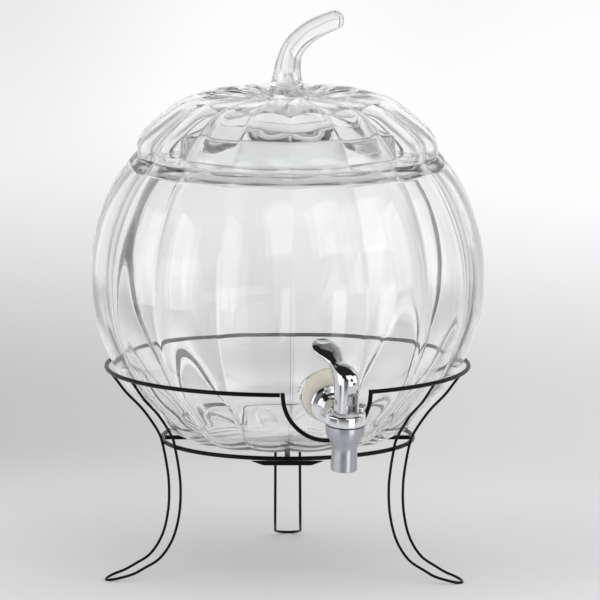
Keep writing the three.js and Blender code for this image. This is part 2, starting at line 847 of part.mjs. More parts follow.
// The lever: its side view crossed with its plan, then slotted, drilled and dished.
function lever() {
  const fromShares = ([out, up]) => new THREE.Vector2(out * leverReach, forkBottom + up * paddleTop);
  const smooth = (points, count) => new THREE.SplineCurve(points).getPoints(count);
  const front = new THREE.Vector2(-hoodRadius, forkBottom + hoodFrontShare * paddleTop);
  const back = new THREE.Vector2(hoodRadius, forkBottom + hoodBackShare * paddleTop);
  const side = new THREE.Shape([
    new THREE.Vector2(-hoodRadius, forkBottom),
    ...smooth([front, ...leverTopShares.map(fromShares)], leverTopSteps),
    ...smooth([...leverUnderShares.map(fromShares), back], leverUnderSteps),
    new THREE.Vector2(hoodRadius, forkBottom),
  ]);
  const profile = new THREE.ExtrudeGeometry(side, { depth: 2 * hoodRadius, bevelEnabled: false });
  profile.translate(0, 0, -hoodRadius);
  profile.rotateX(Math.PI / 2).rotateZ(Math.PI / 2);
  const hood = arc(hoodRadius, hoodRadius, 0, -90, hoodArcEnd);
  const paddle = arc(paddleWidth / 2, paddleLength / 2, leverReach - paddleLength / 2, paddleArcStart, 90);
  const halves = [...hood, [neckWidth / 2, neckReach], ...paddle];
  const right = halves.map(([x, y]) => new THREE.Vector2(x, y));
  const left = halves.slice(1, -1).reverse().map(([x, y]) => new THREE.Vector2(-x, y));
  const plan = new THREE.ExtrudeGeometry(new THREE.Shape([...right, ...left]), {
    depth: paddleTop + 2 * overrun,
    bevelEnabled: false,
  });
  plan.translate(0, 0, forkBottom - overrun);
  const slot = new THREE.BoxGeometry(slotWidth, 2 * (hoodRadius + overrun), slotHeight + overrun);
  slot.translate(0, 0, forkBottom + (slotHeight - overrun) / 2);
  const dish = new THREE.SphereGeometry(1, smallSides, smallSides / 2);
  dish.scale(paddleWidth / 2 - dishInset, paddleLength / 2 - dishInset, dishDepth);
  dish.translate(0, leverReach - paddleLength / 2, forkBottom + paddleTop);
  return cut(shared(profile, plan), slot, pinHole(pinRadius + seatGap), dish);
}

function leverPin() {
  const length = 2 * (hoodRadius - pinInset);
  const pin = new THREE.CylinderGeometry(pinRadius, pinRadius, length, smallSides);
  return pin.rotateZ(Math.PI / 2).translate(0, 0, pinLevel);
}

function stand() {
  const group = new THREE.Group();
  group.add(piece('top_ring', topRing(), blackWire));
  group.add(piece('spigot_dip', spigotDip(), blackWire));
  group.add(piece('lower_ring', lowerRing(), blackWire));
  for (const [name, turn] of Object.entries(legTurns)) {
    const mesh = piece(name, leg(legRingSpacings[name], legTopSpacings[name]), blackWire);
    mesh.rotation.z = turn * DEGREE;
    group.add(mesh);
  }
  for (const [name, turn] of Object.entries(tabTurns)) {
    const mesh = piece(name, tab(), blackWire);
    mesh.rotation.z = turn * DEGREE;
    group.add(mesh);
  }
  group.add(piece('front_brace', frontBrace(), blackWire));
  return group;
}

function spigot() {
  const pipeGroup = new THREE.Group();
  spigotMatrix().decompose(pipeGroup.position, pipeGroup.quaternion, pipeGroup.scale);
  pipeGroup.add(piece('outer_washer', outerWasher(), creamSilicone));
  pipeGroup.add(piece('inner_washer', innerWasher(), whitePlastic));
  pipeGroup.add(piece('lock_nut', lockNut(), whitePlastic));
  pipeGroup.add(piece('spigot_body', spigotBody(), chrome));
  const barrelGroup = new THREE.Group();
  barrelGroup.position.y = -barrelReach;
  barrelGroup.add(piece('nozzle', nozzle(), satin));
  barrelGroup.add(piece('bonnet', bonnet(), chrome));
  barrelGroup.add(piece('valve_spring', valveSpring(), steel));
  const leverGroup = new THREE.Group();
  leverGroup.rotation.z = leverSwing * DEGREE;
  leverGroup.add(piece('cam_washer', camWasher(), whitePlastic));
  leverGroup.add(piece('valve_stem', valveStem(), steel));
  leverGroup.add(piece('seat_cup', seatCup(), creamSilicone));
  leverGroup.add(piece('lever', lever(), chrome));
  leverGroup.add(piece('lever_pin', leverPin(), steel));
  barrelGroup.add(leverGroup);
  pipeGroup.add(barrelGroup);
  return pipeGroup;
}

const dispenser = new THREE.Group();
dispenser.add(stand());
dispenser.add(piece('jar', jar(), glass));
dispenser.add(piece('lid', lid(), glass));
dispenser.add(piece('lid_stem', lidStem(), glass));
dispenser.add(spigot());

// The origin is at the middle of the footprint, on the surface that the feet stand on.
const box = new THREE.Box3().setFromObject(dispenser, true);
const middle = box.getCenter(new THREE.Vector3());
dispenser.position.set(-middle.x, -middle.y, -box.min.z);

export default dispenser;
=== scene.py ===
import json
import math

import bmesh
import bpy
import numpy as np
from mathutils import Matrix, Vector

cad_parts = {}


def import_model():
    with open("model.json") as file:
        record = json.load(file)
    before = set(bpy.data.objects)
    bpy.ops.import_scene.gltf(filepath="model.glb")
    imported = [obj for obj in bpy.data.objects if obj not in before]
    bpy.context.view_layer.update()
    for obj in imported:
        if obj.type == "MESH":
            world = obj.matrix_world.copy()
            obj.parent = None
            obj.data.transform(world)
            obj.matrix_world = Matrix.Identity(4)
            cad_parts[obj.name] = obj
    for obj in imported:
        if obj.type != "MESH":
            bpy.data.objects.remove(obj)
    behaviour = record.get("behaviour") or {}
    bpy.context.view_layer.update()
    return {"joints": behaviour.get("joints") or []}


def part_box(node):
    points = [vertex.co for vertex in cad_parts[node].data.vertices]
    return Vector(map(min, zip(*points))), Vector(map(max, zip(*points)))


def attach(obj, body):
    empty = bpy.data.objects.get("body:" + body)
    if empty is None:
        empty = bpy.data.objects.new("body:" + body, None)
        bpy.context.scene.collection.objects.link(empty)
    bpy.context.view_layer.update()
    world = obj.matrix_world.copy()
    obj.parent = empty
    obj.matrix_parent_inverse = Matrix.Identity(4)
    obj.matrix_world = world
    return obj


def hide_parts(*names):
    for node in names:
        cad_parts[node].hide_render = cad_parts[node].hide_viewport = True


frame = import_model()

MM = 0.001
GAP = 0.3 * MM

# Sizes of the glass. The jar's radius is half a millimetre less than in the CAD, so that its softened lobes stay
# inside the CAD's box.
JAR_RADIUS = 147.05 * MM
JAR_BODY_HEIGHT = 211.3 * MM
JAR_WALL = 5.2 * MM
LOBES = 16
LOBE_DEPTH = 5.5 * MM
INNER_LOBE_SHARE = 0.7
OUTER_LOBE_STEPS = 28
OUTER_VALLEY_SOFTNESS = 0.06
JAR_ROWS = 90
COLLAR_RADIUS = 84.5 * MM
COLLAR_HEIGHT = 19 * MM
JAR_OUTLINE_SHARES = [
    (0.52, 0, 0.2), (0.616, 0.037, 0.6), (0.7, 0.1, 0.85), (0.826, 0.195, 1), (0.918, 0.309, 1), (0.98, 0.43, 1),
    (1, 0.563, 1), (0.986, 0.688, 1), (0.938, 0.808, 1), (0.863, 0.914, 0.95), (0.767, 1, 0.9),
]
LID_HEIGHT = 45.7 * MM
LID_WALL = 4.6 * MM
LID_CENTRE_WALL = 3.6 * MM
LID_RIM_INSET = 0.4 * MM
LID_ROWS = 80
LID_OUTLINE_SHARES = [
    (1, 0, 0.9), (0.998, 0.14, 0.95), (0.974, 0.27, 1), (0.92, 0.425, 1), (0.818, 0.637, 1), (0.7, 0.836, 0.9),
    (0.55, 0.955, 0.75), (0.36, 1, 0.55), (0.24, 0.945, 0.3), (0.17, 0.9, 0),
]
STEM_HEIGHT = 60 * MM
STEM_REACH = 41.5 * MM
STEM_BASE_RADIUS = 15 * MM
STEM_TIP_RADIUS = 6.6 * MM
STEM_SWELL = 0.9 * MM
STEM_DROP = 0.4 * MM
STEM_PATH_SHARES = [
    (0, 0), (0, 0.33), (0.05, 0.53), (0.13, 0.64), (0.28, 0.755), (0.48, 0.855), (0.76, 0.945), (1, 1),
]
STEM_TAPER_SHARES = [(0, 1), (0.05, 0.9), (0.12, 0.62), (0.24, 0.35), (0.4, 0.13), (0.6, 0.04), (0.92, 0)]
# radius as a share of the stem's foot, and height above it
STEM_FILLET = [(1.3, -2 * MM), (1.28, 0), (1.15, 0.7 * MM), (1.05, 1.8 * MM), (1, 3.5 * MM)]
STEM_FINE_STEPS = 400
STEM_STEPS = 80
STEM_TIP_STEPS = 15
STEM_TIP_END_SHARE = 0.01
STEM_SIDES = 40

OVERRUN = 5 * MM
RIM_ROUND = 1.6 * MM
EDGE_ROUND = 0.9 * MM

# Sizes of the wire stand.
RING_WIRE_RADIUS = 1.6 * MM
LEG_WIRE_RADIUS = 1 * MM
TOP_RING_CLEARANCE = 2.2 * MM
TOP_RING_HEIGHT = 152 * MM
LOWER_RING_OUTSET = 16.4 * MM
LOWER_RING_HEIGHT = 98 * MM
DIP_HALF_WIDTH = 33 * MM
DIP_DROP = 28.9 * MM
# turn, and space between the two wires at the lower ring and at the top ring
LEGS = {
    "left_leg": (-68, 26 * MM, 42 * MM), "right_leg": (63, 26 * MM, 42 * MM), "back_leg": (180, 18 * MM, 17 * MM),
}
FOOT_SPACING = 19 * MM
FOOT_REACH = 144 * MM
FOOT_LOOP_REACH = 18 * MM
FOOT_LOOP_RISE = 4.75 * MM
FOOT_FLAT = 0.4 * MM
LEG_TOP_STRAIGHT = 6 * MM
LEG_CLEARANCE = 1.6 * MM
UPPER_LEG_SHARES = [0.46, 0.72]
LEG_NECK_SHARES = (0.05, 0.12)
LOWER_LEG_SHARES = [(0.74, 0.04), (0.36, 0.11), (0.05, 0.25), (-0.12, 0.45), (-0.15, 0.68), (-0.08, 0.87)]
TAB_LENGTH = 24 * MM
TAB_WIDTH = 4 * MM
TAB_THICKNESS = 2.8 * MM
TAB_TAPER = 6 * MM
BRACE_LENGTH = 53 * MM
BRACE_TAPER = 9 * MM
TAB_TURNS = {"left_tab": -90, "right_tab": 90, "front_tab": 0, "back_tab": 180}
BAR_BEVEL = 0.35 * MM
CREST_ROWS = 72
RING_STEPS = 240
CAD_RING_STEPS = 40
DIP_ARC_STEPS = 12
DIP_STEPS = 120
FOOT_LOOP_STEPS = 6
LEG_STEPS = 480
LEG_SIDES = 14

# Sizes of the spigot, along its pipe and up its barrel.
BOSS_RADIUS = 20 * MM
BOSS_EDGE = 0.8 * MM
BOSS_RISE = 4.5 * MM
BOSS_WALL = 7 * MM
RECESS_RADIUS = 16 * MM
SHANK_RADIUS = 7.7 * MM
SHANK_CLEARANCE = 0.5 * MM
SHANK_HOLE_RADIUS = SHANK_RADIUS + SHANK_CLEARANCE
WATERWAY_RADIUS = 5.5 * MM
WASHER_RADIUS = 20.5 * MM
WASHER_RISE = 6 * MM
WASHER_THICKNESS = 4.6 * MM
WASHER_CROWN = 1.4 * MM
WASHER_CROWN_STEPS = 8
INNER_WASHER_RADIUS = 14.5 * MM
INNER_WASHER_THICKNESS = 2.6 * MM
PLASTIC_EDGE = 0.5 * MM
NUT_ACROSS = 26 * MM
NUT_THICKNESS = 7 * MM
NUT_FLANGE_THICKNESS = 2 * MM
NUT_CHAMFER = 1 * MM
SHANK_STICK_OUT = 3 * MM
THREAD_PITCH = 1.5 * MM
THREAD_DEPTH = 0.7 * MM
# share of the pitch, and depth
THREAD_PROFILE = [(0.2, 0), (0.5, THREAD_DEPTH), (0.8, 0)]
FLANGE_RADIUS = 14.9 * MM
FLANGE_THICKNESS = 4 * MM
PIPE_RADIUS = 9 * MM
FLANGE_EDGE = 0.5 * MM
# radius, and share of the flange's thickness
FLANGE_CURVE = [
    (FLANGE_RADIUS, 0.3), (FLANGE_RADIUS * 0.985, 0.5), (FLANGE_RADIUS * 0.9, 0.75), (PIPE_RADIUS * 1.15, 1),
    (PIPE_RADIUS, 1.4),
]
FLANGE_CURVE_STEPS = 20
BARREL_REACH = 55 * MM
BARREL_RADIUS = 10.6 * MM
BARREL_BORE = 8.6 * MM
BARREL_TOP = 6.5 * MM
BARREL_FLOOR = 9.2 * MM
BARREL_FLOOR_THICKNESS = 1.8 * MM
OUTLET_HOLE_RADIUS = 5 * MM
HEAD_RADIUS = 14.6 * MM
HEAD_FACETS = 14
HEAD_TOP = 10.2 * MM
HEAD_HEIGHT = 8.6 * MM
HEAD_CHAMFER = 0.8 * MM
HEAD_RECESS_RADIUS = 13.1 * MM
CASTING_BEVEL = 0.25 * MM
CASTING_BEVEL_DEGREES = 18
NOZZLE_LENGTH = 34.6 * MM
NOZZLE_TOP_RADIUS = 14.45 * MM
NOZZLE_WAIST_RADIUS = 9.2 * MM
NOZZLE_OUTLET_RADIUS = 9.75 * MM
NOZZLE_WALL = 1.8 * MM
NOZZLE_SHOULDER_SHARES = [(0, 1), (0.12, 0.98), (0.24, 0.78), (0.36, 0.38), (0.49, 0.02)]
NOZZLE_SHOULDER_STEPS = 60
NOZZLE_SWELL_SHARE = 0.75
NOZZLE_END_SHARE = 0.97
NOZZLE_THROAT_SHARE = 0.49
NOZZLE_LIP = 0.6 * MM
OUTLET_CHAMFER = 0.3 * MM
BONNET_THICKNESS = 1.8 * MM
BONNET_PLUG_DEPTH = 3.3 * MM
BONNET_EDGE = 0.3 * MM
CAM_WASHER_THICKNESS = 1.1 * MM
STEM_ROD_RADIUS = 2.7 * MM
STEM_ROD_CLEARANCE = 0.4 * MM

# Sizes of the lever: its side view as shares of its reach and height, and its half width over the reach.
HOOD_RADIUS = 8.8 * MM
SLOT_WIDTH = 8.6 * MM
SLOT_HEIGHT = 23 * MM
LEVER_REACH = 43 * MM
PADDLE_TOP = 44 * MM
PADDLE_LENGTH = 25 * MM
PADDLE_WIDTH = 22 * MM
DISH_DEPTH = 1.8 * MM
DISH_INSET = 2.2 * MM
PIN_RADIUS = 1.6 * MM
PIN_HEIGHT = 8.7 * MM
HOOD_FRONT_SHARE = 0.57
HOOD_BACK_SHARE = 0.29
LEVER_TOP_SHARES = [
    (-0.15, 0.68), (-0.03, 0.75), (0.1, 0.785), (0.26, 0.81), (0.42, 0.85), (0.66, 0.925), (0.86, 0.985), (1, 1),
]
LEVER_UNDER_SHARES = [(0.24, 0.45), (0.31, 0.57), (0.44, 0.68), (0.63, 0.785), (0.83, 0.875), (1, 0.955)]
LEVER_HALF_WIDTHS = [
    (-0.3, 0.8), (0, 0.8), (0.08, 0.79), (0.18, 0.72), (0.28, 0.62), (0.38, 0.6), (0.48, 0.72), (0.6, 0.92),
    (0.71, 1), (0.82, 0.92), (0.91, 0.71), (0.965, 0.45), (1, 0.06),
]
LEVER_STEPS = 96
LEVER_FINE_STEPS = 600
LEVER_SIDES = 48
LEVER_SQUARENESS = 0.86
DISH_STEPS = 24

# The frame of the jar and the stand, read off the solids.
low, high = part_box("lower_ring")
AXIS_Y = (low.y + high.y) / 2
JAR_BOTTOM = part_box("jar")[0].z
JAR_SEAT = JAR_BOTTOM + JAR_BODY_HEIGHT
SEAT_RADIUS = JAR_OUTLINE_SHARES[-1][0] * JAR_RADIUS
JAR_RIM = JAR_SEAT + COLLAR_HEIGHT
LID_RADIUS = SEAT_RADIUS - LID_RIM_INSET
LID_BOTTOM = JAR_SEAT + GAP
LID_RECESS = LID_BOTTOM + LID_OUTLINE_SHARES[-1][1] * LID_HEIGHT

# The frame of the spigot, read off the joints.
joints = {joint["name"]: joint for joint in frame["joints"]}
BARREL = Vector(joints["lever_swivel"]["pos_m"])
BARREL_UP = Vector(joints["lever_swivel"]["axis"]).normalized()
LEVER_RIGHT = -Vector(joints["lever_tilt"]["axis"]).normalized()
SPIGOT_TURN = math.atan2(BARREL_UP.x, -BARREL_UP.y)
SPIGOT_TILT = math.acos(BARREL_UP.z)
PIPE_OUT = Vector((
    math.sin(SPIGOT_TURN) * math.cos(SPIGOT_TILT),
    -math.cos(SPIGOT_TURN) * math.cos(SPIGOT_TILT),
    -math.sin(SPIGOT_TILT),
))
BOSS = BARREL - PIPE_OUT * BARREL_REACH
PIPE_RIGHT = PIPE_OUT.cross(BARREL_UP) * -1


def frame_matrix(origin, x, y, z):
    """The matrix of a frame with this origin and these axes."""
    matrix = Matrix.Identity(4)
    for column, axis in enumerate((x, y, z)):
        for row in range(3):
            matrix[row][column] = axis[row]
    matrix.translation = origin
    return matrix


PIPE_FRAME = frame_matrix(BOSS, PIPE_RIGHT, BARREL_UP, PIPE_OUT)
BARREL_FRAME = frame_matrix(BARREL, PIPE_RIGHT, -PIPE_OUT, BARREL_UP)
LEVER_FRAME = frame_matrix(BARREL, LEVER_RIGHT, BARREL_UP.cross(LEVER_RIGHT), BARREL_UP)
BOSS_FRAME = Matrix.Translation(BARREL_UP * BOSS_RISE) @ PIPE_FRAME
JAR_FRAME = Matrix.Translation((0, AXIS_Y, 0))


def through(points, t):
    """The point at t, from 0 to 1, of a smooth centripetal curve through the points."""
    points = [np.array(p, float) for p in points]
    last = len(points) - 1
    i = min(int(t * last), last - 1)
    w = t * last - i
    p1, p2 = points[i], points[i + 1]
    p0 = points[i - 1] if i > 0 else 2 * p1 - p2
    p3 = points[i + 2] if i + 2 <= last else 2 * p2 - p1
    d0, d1, d2 = (max(np.linalg.norm(b - a), 1e-9) ** 0.5 for a, b in ((p0, p1), (p1, p2), (p2, p3)))
    t1 = ((p1 - p0) / d0 - (p2 - p0) / (d0 + d1) + (p2 - p1) / d1) * d1
    t2 = ((p2 - p1) / d1 - (p3 - p1) / (d1 + d2) + (p3 - p2) / d2) * d1
    return (
        (2 * w**3 - 3 * w**2 + 1) * p1 + (w**3 - 2 * w**2 + w) * t1
        + (3 * w**2 - 2 * w**3) * p2 + (w**3 - w**2) * t2
    )


def sampled(points, count):
    """Points at even steps of the smooth curve, one more than the count."""
    return [through(points, i / count) for i in range(count + 1)]


def lengths_along(path):
    """The length of a path up to each of its points."""
    return np.concatenate([[0], np.cumsum([np.linalg.norm(b - a) for a, b in zip(path, path[1:])])])


def at_length(length, lengths, path):
    return np.array([np.interp(length, lengths, column) for column in zip(*path)])


def linked(name, data):
    """A new object in the scene."""
    new = bpy.data.objects.new(name, data)
    bpy.context.scene.collection.objects.link(new)
    return new


def mesh_object(name, vertices, faces):
    """A linked object with welded vertices and its faces turned outwards."""
    mesh = bpy.data.meshes.new(name)
    mesh.from_pydata([tuple(v) for v in vertices], [], faces)
    bm = bmesh.new()
    bm.from_mesh(mesh)
    bmesh.ops.remove_doubles(bm, verts=bm.verts, dist=1e-7)
    bmesh.ops.recalc_face_normals(bm, faces=bm.faces)
    bm.to_mesh(mesh)
    bm.free()
    for polygon in mesh.polygons:
        polygon.use_smooth = True
    return linked(name, mesh)


def soften(piece, degrees=35):
    """Smooth shading that keeps edges sharper than this angle."""
    bm = bmesh.new()
    bm.from_mesh(piece.data)
    limit = math.radians(degrees)
    for edge in bm.edges:
        edge.smooth = len(edge.link_faces) != 2 or edge.calc_face_angle(0) < limit
    for face in bm.faces:
        face.smooth = True
    bm.to_mesh(piece.data)
    bm.free()
    return piece


def walls(pairs):
    """Faces between pairs of rings of vertices. A ring on the axis has one vertex many times, and gives triangles."""
    faces = []
    for a, b in pairs:
        for i in range(len(a)):
            j = (i + 1) % len(a)
            corners = [a[i], a[j], b[j], b[i]]
            face = [v for k, v in enumerate(corners) if v != corners[k - 1]]
            if len(set(face)) > 2:
                faces.append(face)
    return faces


def revolved(name, profile, matrix, sides=96):
    """A solid of revolution about the matrix's Z axis. The profile ends on the axis or closes on itself."""
    closed = profile[0] == profile[-1] and profile[0][0] > 0
    rows = profile[:-1] if closed else profile
    vertices, rings = [], []
    for radius, height in rows:
        if radius == 0:
            rings.append([len(vertices)] * sides)
            vertices.append(matrix @ Vector((0, 0, height)))
            continue
        rings.append(list(range(len(vertices), len(vertices) + sides)))
        for i in range(sides):
            turn = 2 * math.pi * i / sides
            vertices.append(matrix @ Vector((radius * math.cos(turn), radius * math.sin(turn), height)))
    pairs = list(zip(rings, rings[1:]))
    if closed:
        pairs.append((rings[-1], rings[0]))
    return soften(mesh_object(name, vertices, walls(pairs)))


def cylinder(radius, low, high):
    """The profile of a plain cylinder."""
    return [(0, low), (radius, low), (radius, high), (0, high)]


def quarter(radius, hollow=False, steps=6):
    """Points round a quarter of a circle: out of a side and onto a top, or down a top and up a side."""
    points = []
    for i in range(steps + 1):
        turn = math.pi / 2 * i / steps
        if hollow:
            points.append((radius * (1 - math.sin(turn)), radius * (1 - math.cos(turn))))
        else:
            points.append((radius * math.cos(turn), radius * math.sin(turn)))
    return points


def upper_rim(radius, top, soft, steps=6):
    """A rounded edge from a side at this radius up onto its top."""
    return [(radius - soft + out, top - soft + up) for out, up in quarter(soft, steps=steps)]


def lower_rim(radius, bottom, soft, steps=6):
    """A rounded edge from a bottom up onto its side at this radius."""
    return [(radius - soft + out, bottom + soft - up) for out, up in reversed(quarter(soft, steps=steps))]


def swept(name, points, radius, sides=16, closed=False):
    """A round bar along points, with flat ends unless it is closed. radius may be a list, one for each point."""
    points = [Vector(p) for p in points]
    count = len(points)
    tangents = []
    for i in range(count):
        before = points[i - 1] if closed or i else points[0]
        after = points[(i + 1) % count] if closed or i < count - 1 else points[-1]
        tangents.append((after - before).normalized())
    side = tangents[0].orthogonal().normalized()
    vertices = []
    for i, (point, tangent) in enumerate(zip(points, tangents)):
        side = (side - tangent * side.dot(tangent)).normalized()
        other = tangent.cross(side)
        thick = radius[i] if isinstance(radius, list) else radius
        for k in range(sides):
            turn = 2 * math.pi * k / sides
            vertices.append(point + side * math.cos(turn) * thick + other * math.sin(turn) * thick)
    rings = [list(range(i * sides, (i + 1) * sides)) for i in range(count)]
    if closed:
        faces = walls(zip(rings, rings[1:] + rings[:1]))
    else:
        faces = walls(zip(rings, rings[1:])) + [rings[0][::-1], rings[-1]]
    return soften(mesh_object(name, vertices, faces), degrees=50)


def applied(piece):
    """Turns a piece's modifiers into its mesh."""
    bpy.context.view_layer.update()
    depsgraph = bpy.context.evaluated_depsgraph_get()
    mesh = bpy.data.meshes.new_from_object(piece.evaluated_get(depsgraph))
    piece.modifiers.clear()
    old = piece.data
    piece.data = mesh
    mesh.name = piece.name
    bpy.data.meshes.remove(old)


def boolean(piece, tool, operation):
    """Joins a tool to a piece or cuts it away, and removes the tool."""
    modifier = piece.modifiers.new("cut", "BOOLEAN")
    modifier.operation = operation
    modifier.solver = "MANIFOLD"
    modifier.object = tool
    applied(piece)
    bpy.data.objects.remove(tool)


def bored(piece, radius, low, high, matrix):
    """Cuts a cylinder about the matrix's Z axis out of a piece."""
    boolean(piece, revolved("bore", cylinder(radius, low, high), matrix), "DIFFERENCE")


def outline_rows(shares, radius, height, bottom, count, inset=0):
    """Rows of radius, height, the outline's outward normal and the lobe's share."""
    places = [(out * radius, up * height) for out, up, lobe in shares]
    lobes = [(i, lobe) for i, (out, up, lobe) in enumerate(shares)]
    rows = []
    for i in range(count + 1):
        t = i / count
        at = through(places, t)
        step = through(places, min(t + 1e-4, 1)) - through(places, max(t - 1e-4, 0))
        normal = np.array([step[1], -step[0]]) / np.linalg.norm(step)
        spot = at - normal * inset
        rows.append((spot[0], bottom + spot[1], normal, max(through(lobes, t)[1], 0)))
    return rows


def lobe_row(radius, height, lobe=0):
    """A row that a lobe presses straight inwards, or that is plain and round."""
    return (radius, height, np.array([1.0, 0.0]), lobe)


def about_axis(radius, turn, height):
    """A place about the jar's axis. A turn of nought is the side of the camera."""
    return (radius * math.sin(turn), AXIS_Y - radius * math.cos(turn), height)


def lobed(name, rows, depth, steps_per_lobe=20, soft=0.1):
    """A closed solid of revolution about the jar's axis, pressed into lobes with a valley between each two."""
    around = LOBES * steps_per_lobe
    start = SPIGOT_TURN - math.pi / LOBES
    vertices, rings = [], []
    for radius, height, normal, lobe in rows:
        if radius == 0:
            rings.append([len(vertices)] * around)
            vertices.append((0, AXIS_Y, height))
            continue
        rings.append(list(range(len(vertices), len(vertices) + around)))
        for step in range(around):
            phase = math.pi * (step % steps_per_lobe) / steps_per_lobe
            valley = 1 - math.sqrt(math.sin(phase) ** 2 + soft**2) / math.sqrt(1 + soft**2)
            press = depth * lobe * valley
            turn = start + 2 * math.pi * step / around
            vertices.append(about_axis(radius - normal[0] * press, turn, height - normal[1] * press))
    return mesh_object(name, vertices, walls(zip(rings, rings[1:])))


def jar():
    """The jar: thick lobed glass with a plain collar, a flat boss, and a bored recess for the spigot."""
    outline = (JAR_OUTLINE_SHARES, JAR_RADIUS, JAR_BODY_HEIGHT, JAR_BOTTOM, JAR_ROWS)
    seat_lobe = JAR_OUTLINE_SHARES[-1][2]
    outer = [lobe_row(0, JAR_BOTTOM)]
    outer += [row for row in outline_rows(*outline) if row[1] < JAR_SEAT - EDGE_ROUND]
    outer += [lobe_row(out, up, seat_lobe) for out, up in upper_rim(SEAT_RADIUS, JAR_SEAT, EDGE_ROUND)]
    outer.append(lobe_row(SEAT_RADIUS - 2 * LOBE_DEPTH, JAR_SEAT))
    outer.append(lobe_row(COLLAR_RADIUS + RIM_ROUND, JAR_SEAT))
    outer += [lobe_row(COLLAR_RADIUS + out, JAR_SEAT + up) for out, up in quarter(RIM_ROUND, hollow=True)]
    outer += [lobe_row(out, up) for out, up in upper_rim(COLLAR_RADIUS, JAR_RIM, RIM_ROUND)]
    outer.append(lobe_row(0, JAR_RIM))
    under_seat = JAR_SEAT - JAR_WALL
    throat = COLLAR_RADIUS - JAR_WALL
    inner = [lobe_row(0, JAR_BOTTOM + JAR_WALL)]
    inner += [row for row in outline_rows(*outline, JAR_WALL) if row[1] < under_seat - JAR_WALL / 2]
    inner += [
        lobe_row(SEAT_RADIUS - 2 * LOBE_DEPTH - JAR_WALL, under_seat),
        lobe_row(throat, under_seat),
        lobe_row(throat, JAR_RIM - RIM_ROUND),
        lobe_row(throat + RIM_ROUND, JAR_RIM),
        lobe_row(throat + RIM_ROUND, JAR_RIM + OVERRUN),
        lobe_row(0, JAR_RIM + OVERRUN),
    ]
    glass = lobed("jar_glass", outer, LOBE_DEPTH, OUTER_LOBE_STEPS, OUTER_VALLEY_SOFTNESS)
    deep = -(BOSS_RADIUS + BARREL_REACH)
    boss = [(0, deep), (BOSS_RADIUS, deep)] + upper_rim(BOSS_RADIUS, 0, BOSS_EDGE) + [(0, 0)]
    boolean(glass, revolved("boss", boss, BOSS_FRAME), "UNION")
    boolean(glass, lobed("hollow", inner, LOBE_DEPTH * INNER_LOBE_SHARE), "DIFFERENCE")
    bored(glass, RECESS_RADIUS, deep, -BOSS_WALL, PIPE_FRAME)
    bored(glass, SHANK_HOLE_RADIUS, deep, OVERRUN, PIPE_FRAME)
    return soften(glass, degrees=42)


def lid():
    """The lid with its curved stem fused on: one piece of glass."""
    outline = (LID_OUTLINE_SHARES, LID_RADIUS, LID_HEIGHT, LID_BOTTOM, LID_ROWS)
    rim_lobe = LID_OUTLINE_SHARES[0][2]
    outer = [lobe_row(0, LID_BOTTOM)]
    outer += [lobe_row(out, up, rim_lobe) for out, up in lower_rim(LID_RADIUS, LID_BOTTOM, EDGE_ROUND)]
    outer += [row for row in outline_rows(*outline) if row[1] > LID_BOTTOM + EDGE_ROUND]
    outer.append(lobe_row(0, LID_RECESS))
    inner = outline_rows(*outline, LID_WALL)
    below = (inner[0][0], LID_BOTTOM - OVERRUN, inner[0][2], inner[0][3])
    ceiling = LID_RECESS - LID_CENTRE_WALL
    inner = [lobe_row(0, LID_BOTTOM - OVERRUN), below] + [row for row in inner if row[1] < ceiling]
    inner += [lobe_row(inner[-1][0] - EDGE_ROUND, ceiling), lobe_row(0, ceiling)]
    glass = lobed("lid_glass", outer, LOBE_DEPTH, OUTER_LOBE_STEPS, OUTER_VALLEY_SOFTNESS)
    boolean(glass, lobed("hollow", inner, LOBE_DEPTH * INNER_LOBE_SHARE), "DIFFERENCE")
    boolean(glass, stem(), "UNION")
    return soften(glass, degrees=60)


def stem():
    """The stem: a bar that tapers along a curve, with a fillet at its foot and a rounded tip."""
    rise = STEM_HEIGHT - STEM_DROP
    path = [(out * STEM_REACH, AXIS_Y, LID_RECESS + up * rise) for out, up in STEM_PATH_SHARES]
    fine = sampled(path, STEM_FINE_STEPS)
    lengths = lengths_along(fine)
    tip_start = STEM_TAPER_SHARES[-1][0]
    stations = []
    for i in range(STEM_STEPS + 1):
        along = tip_start * i / STEM_STEPS
        thick = np.interp(along, *zip(*STEM_TAPER_SHARES))
        stations.append((along, STEM_TIP_RADIUS + (STEM_BASE_RADIUS - STEM_TIP_RADIUS) * thick))
    for i in range(1, STEM_TIP_STEPS + 1):
        turn = math.pi / 2 * i / STEM_TIP_STEPS
        along = tip_start + (1 - tip_start) * math.sin(turn)
        stations.append((along, STEM_TIP_RADIUS * max(math.cos(turn), STEM_TIP_END_SHARE)))
    stations = [(at_length(along * lengths[-1], lengths, fine), radius) for along, radius in stations]
    foot = stations[0][0]
    rest = [(place, radius) for place, radius in stations if place[2] > foot[2] + STEM_FILLET[-1][1]]
    places = [[foot[0], AXIS_Y, foot[2] + up] for out, up in STEM_FILLET] + [place for place, radius in rest]
    radii = [out * STEM_BASE_RADIUS for out, up in STEM_FILLET]
    radii += [radius + STEM_SWELL * math.sin(math.pi * i / len(rest)) for i, (place, radius) in enumerate(rest)]
    return swept("stem", places, radii, STEM_SIDES)


def jar_radius_at(height):
    """The jar's outer radius at a height, at its lobes' crests."""
    rows = outline_rows(JAR_OUTLINE_SHARES, JAR_RADIUS, JAR_BODY_HEIGHT, JAR_BOTTOM, CREST_ROWS)
    return next(row[0] for row in rows if row[1] > height)


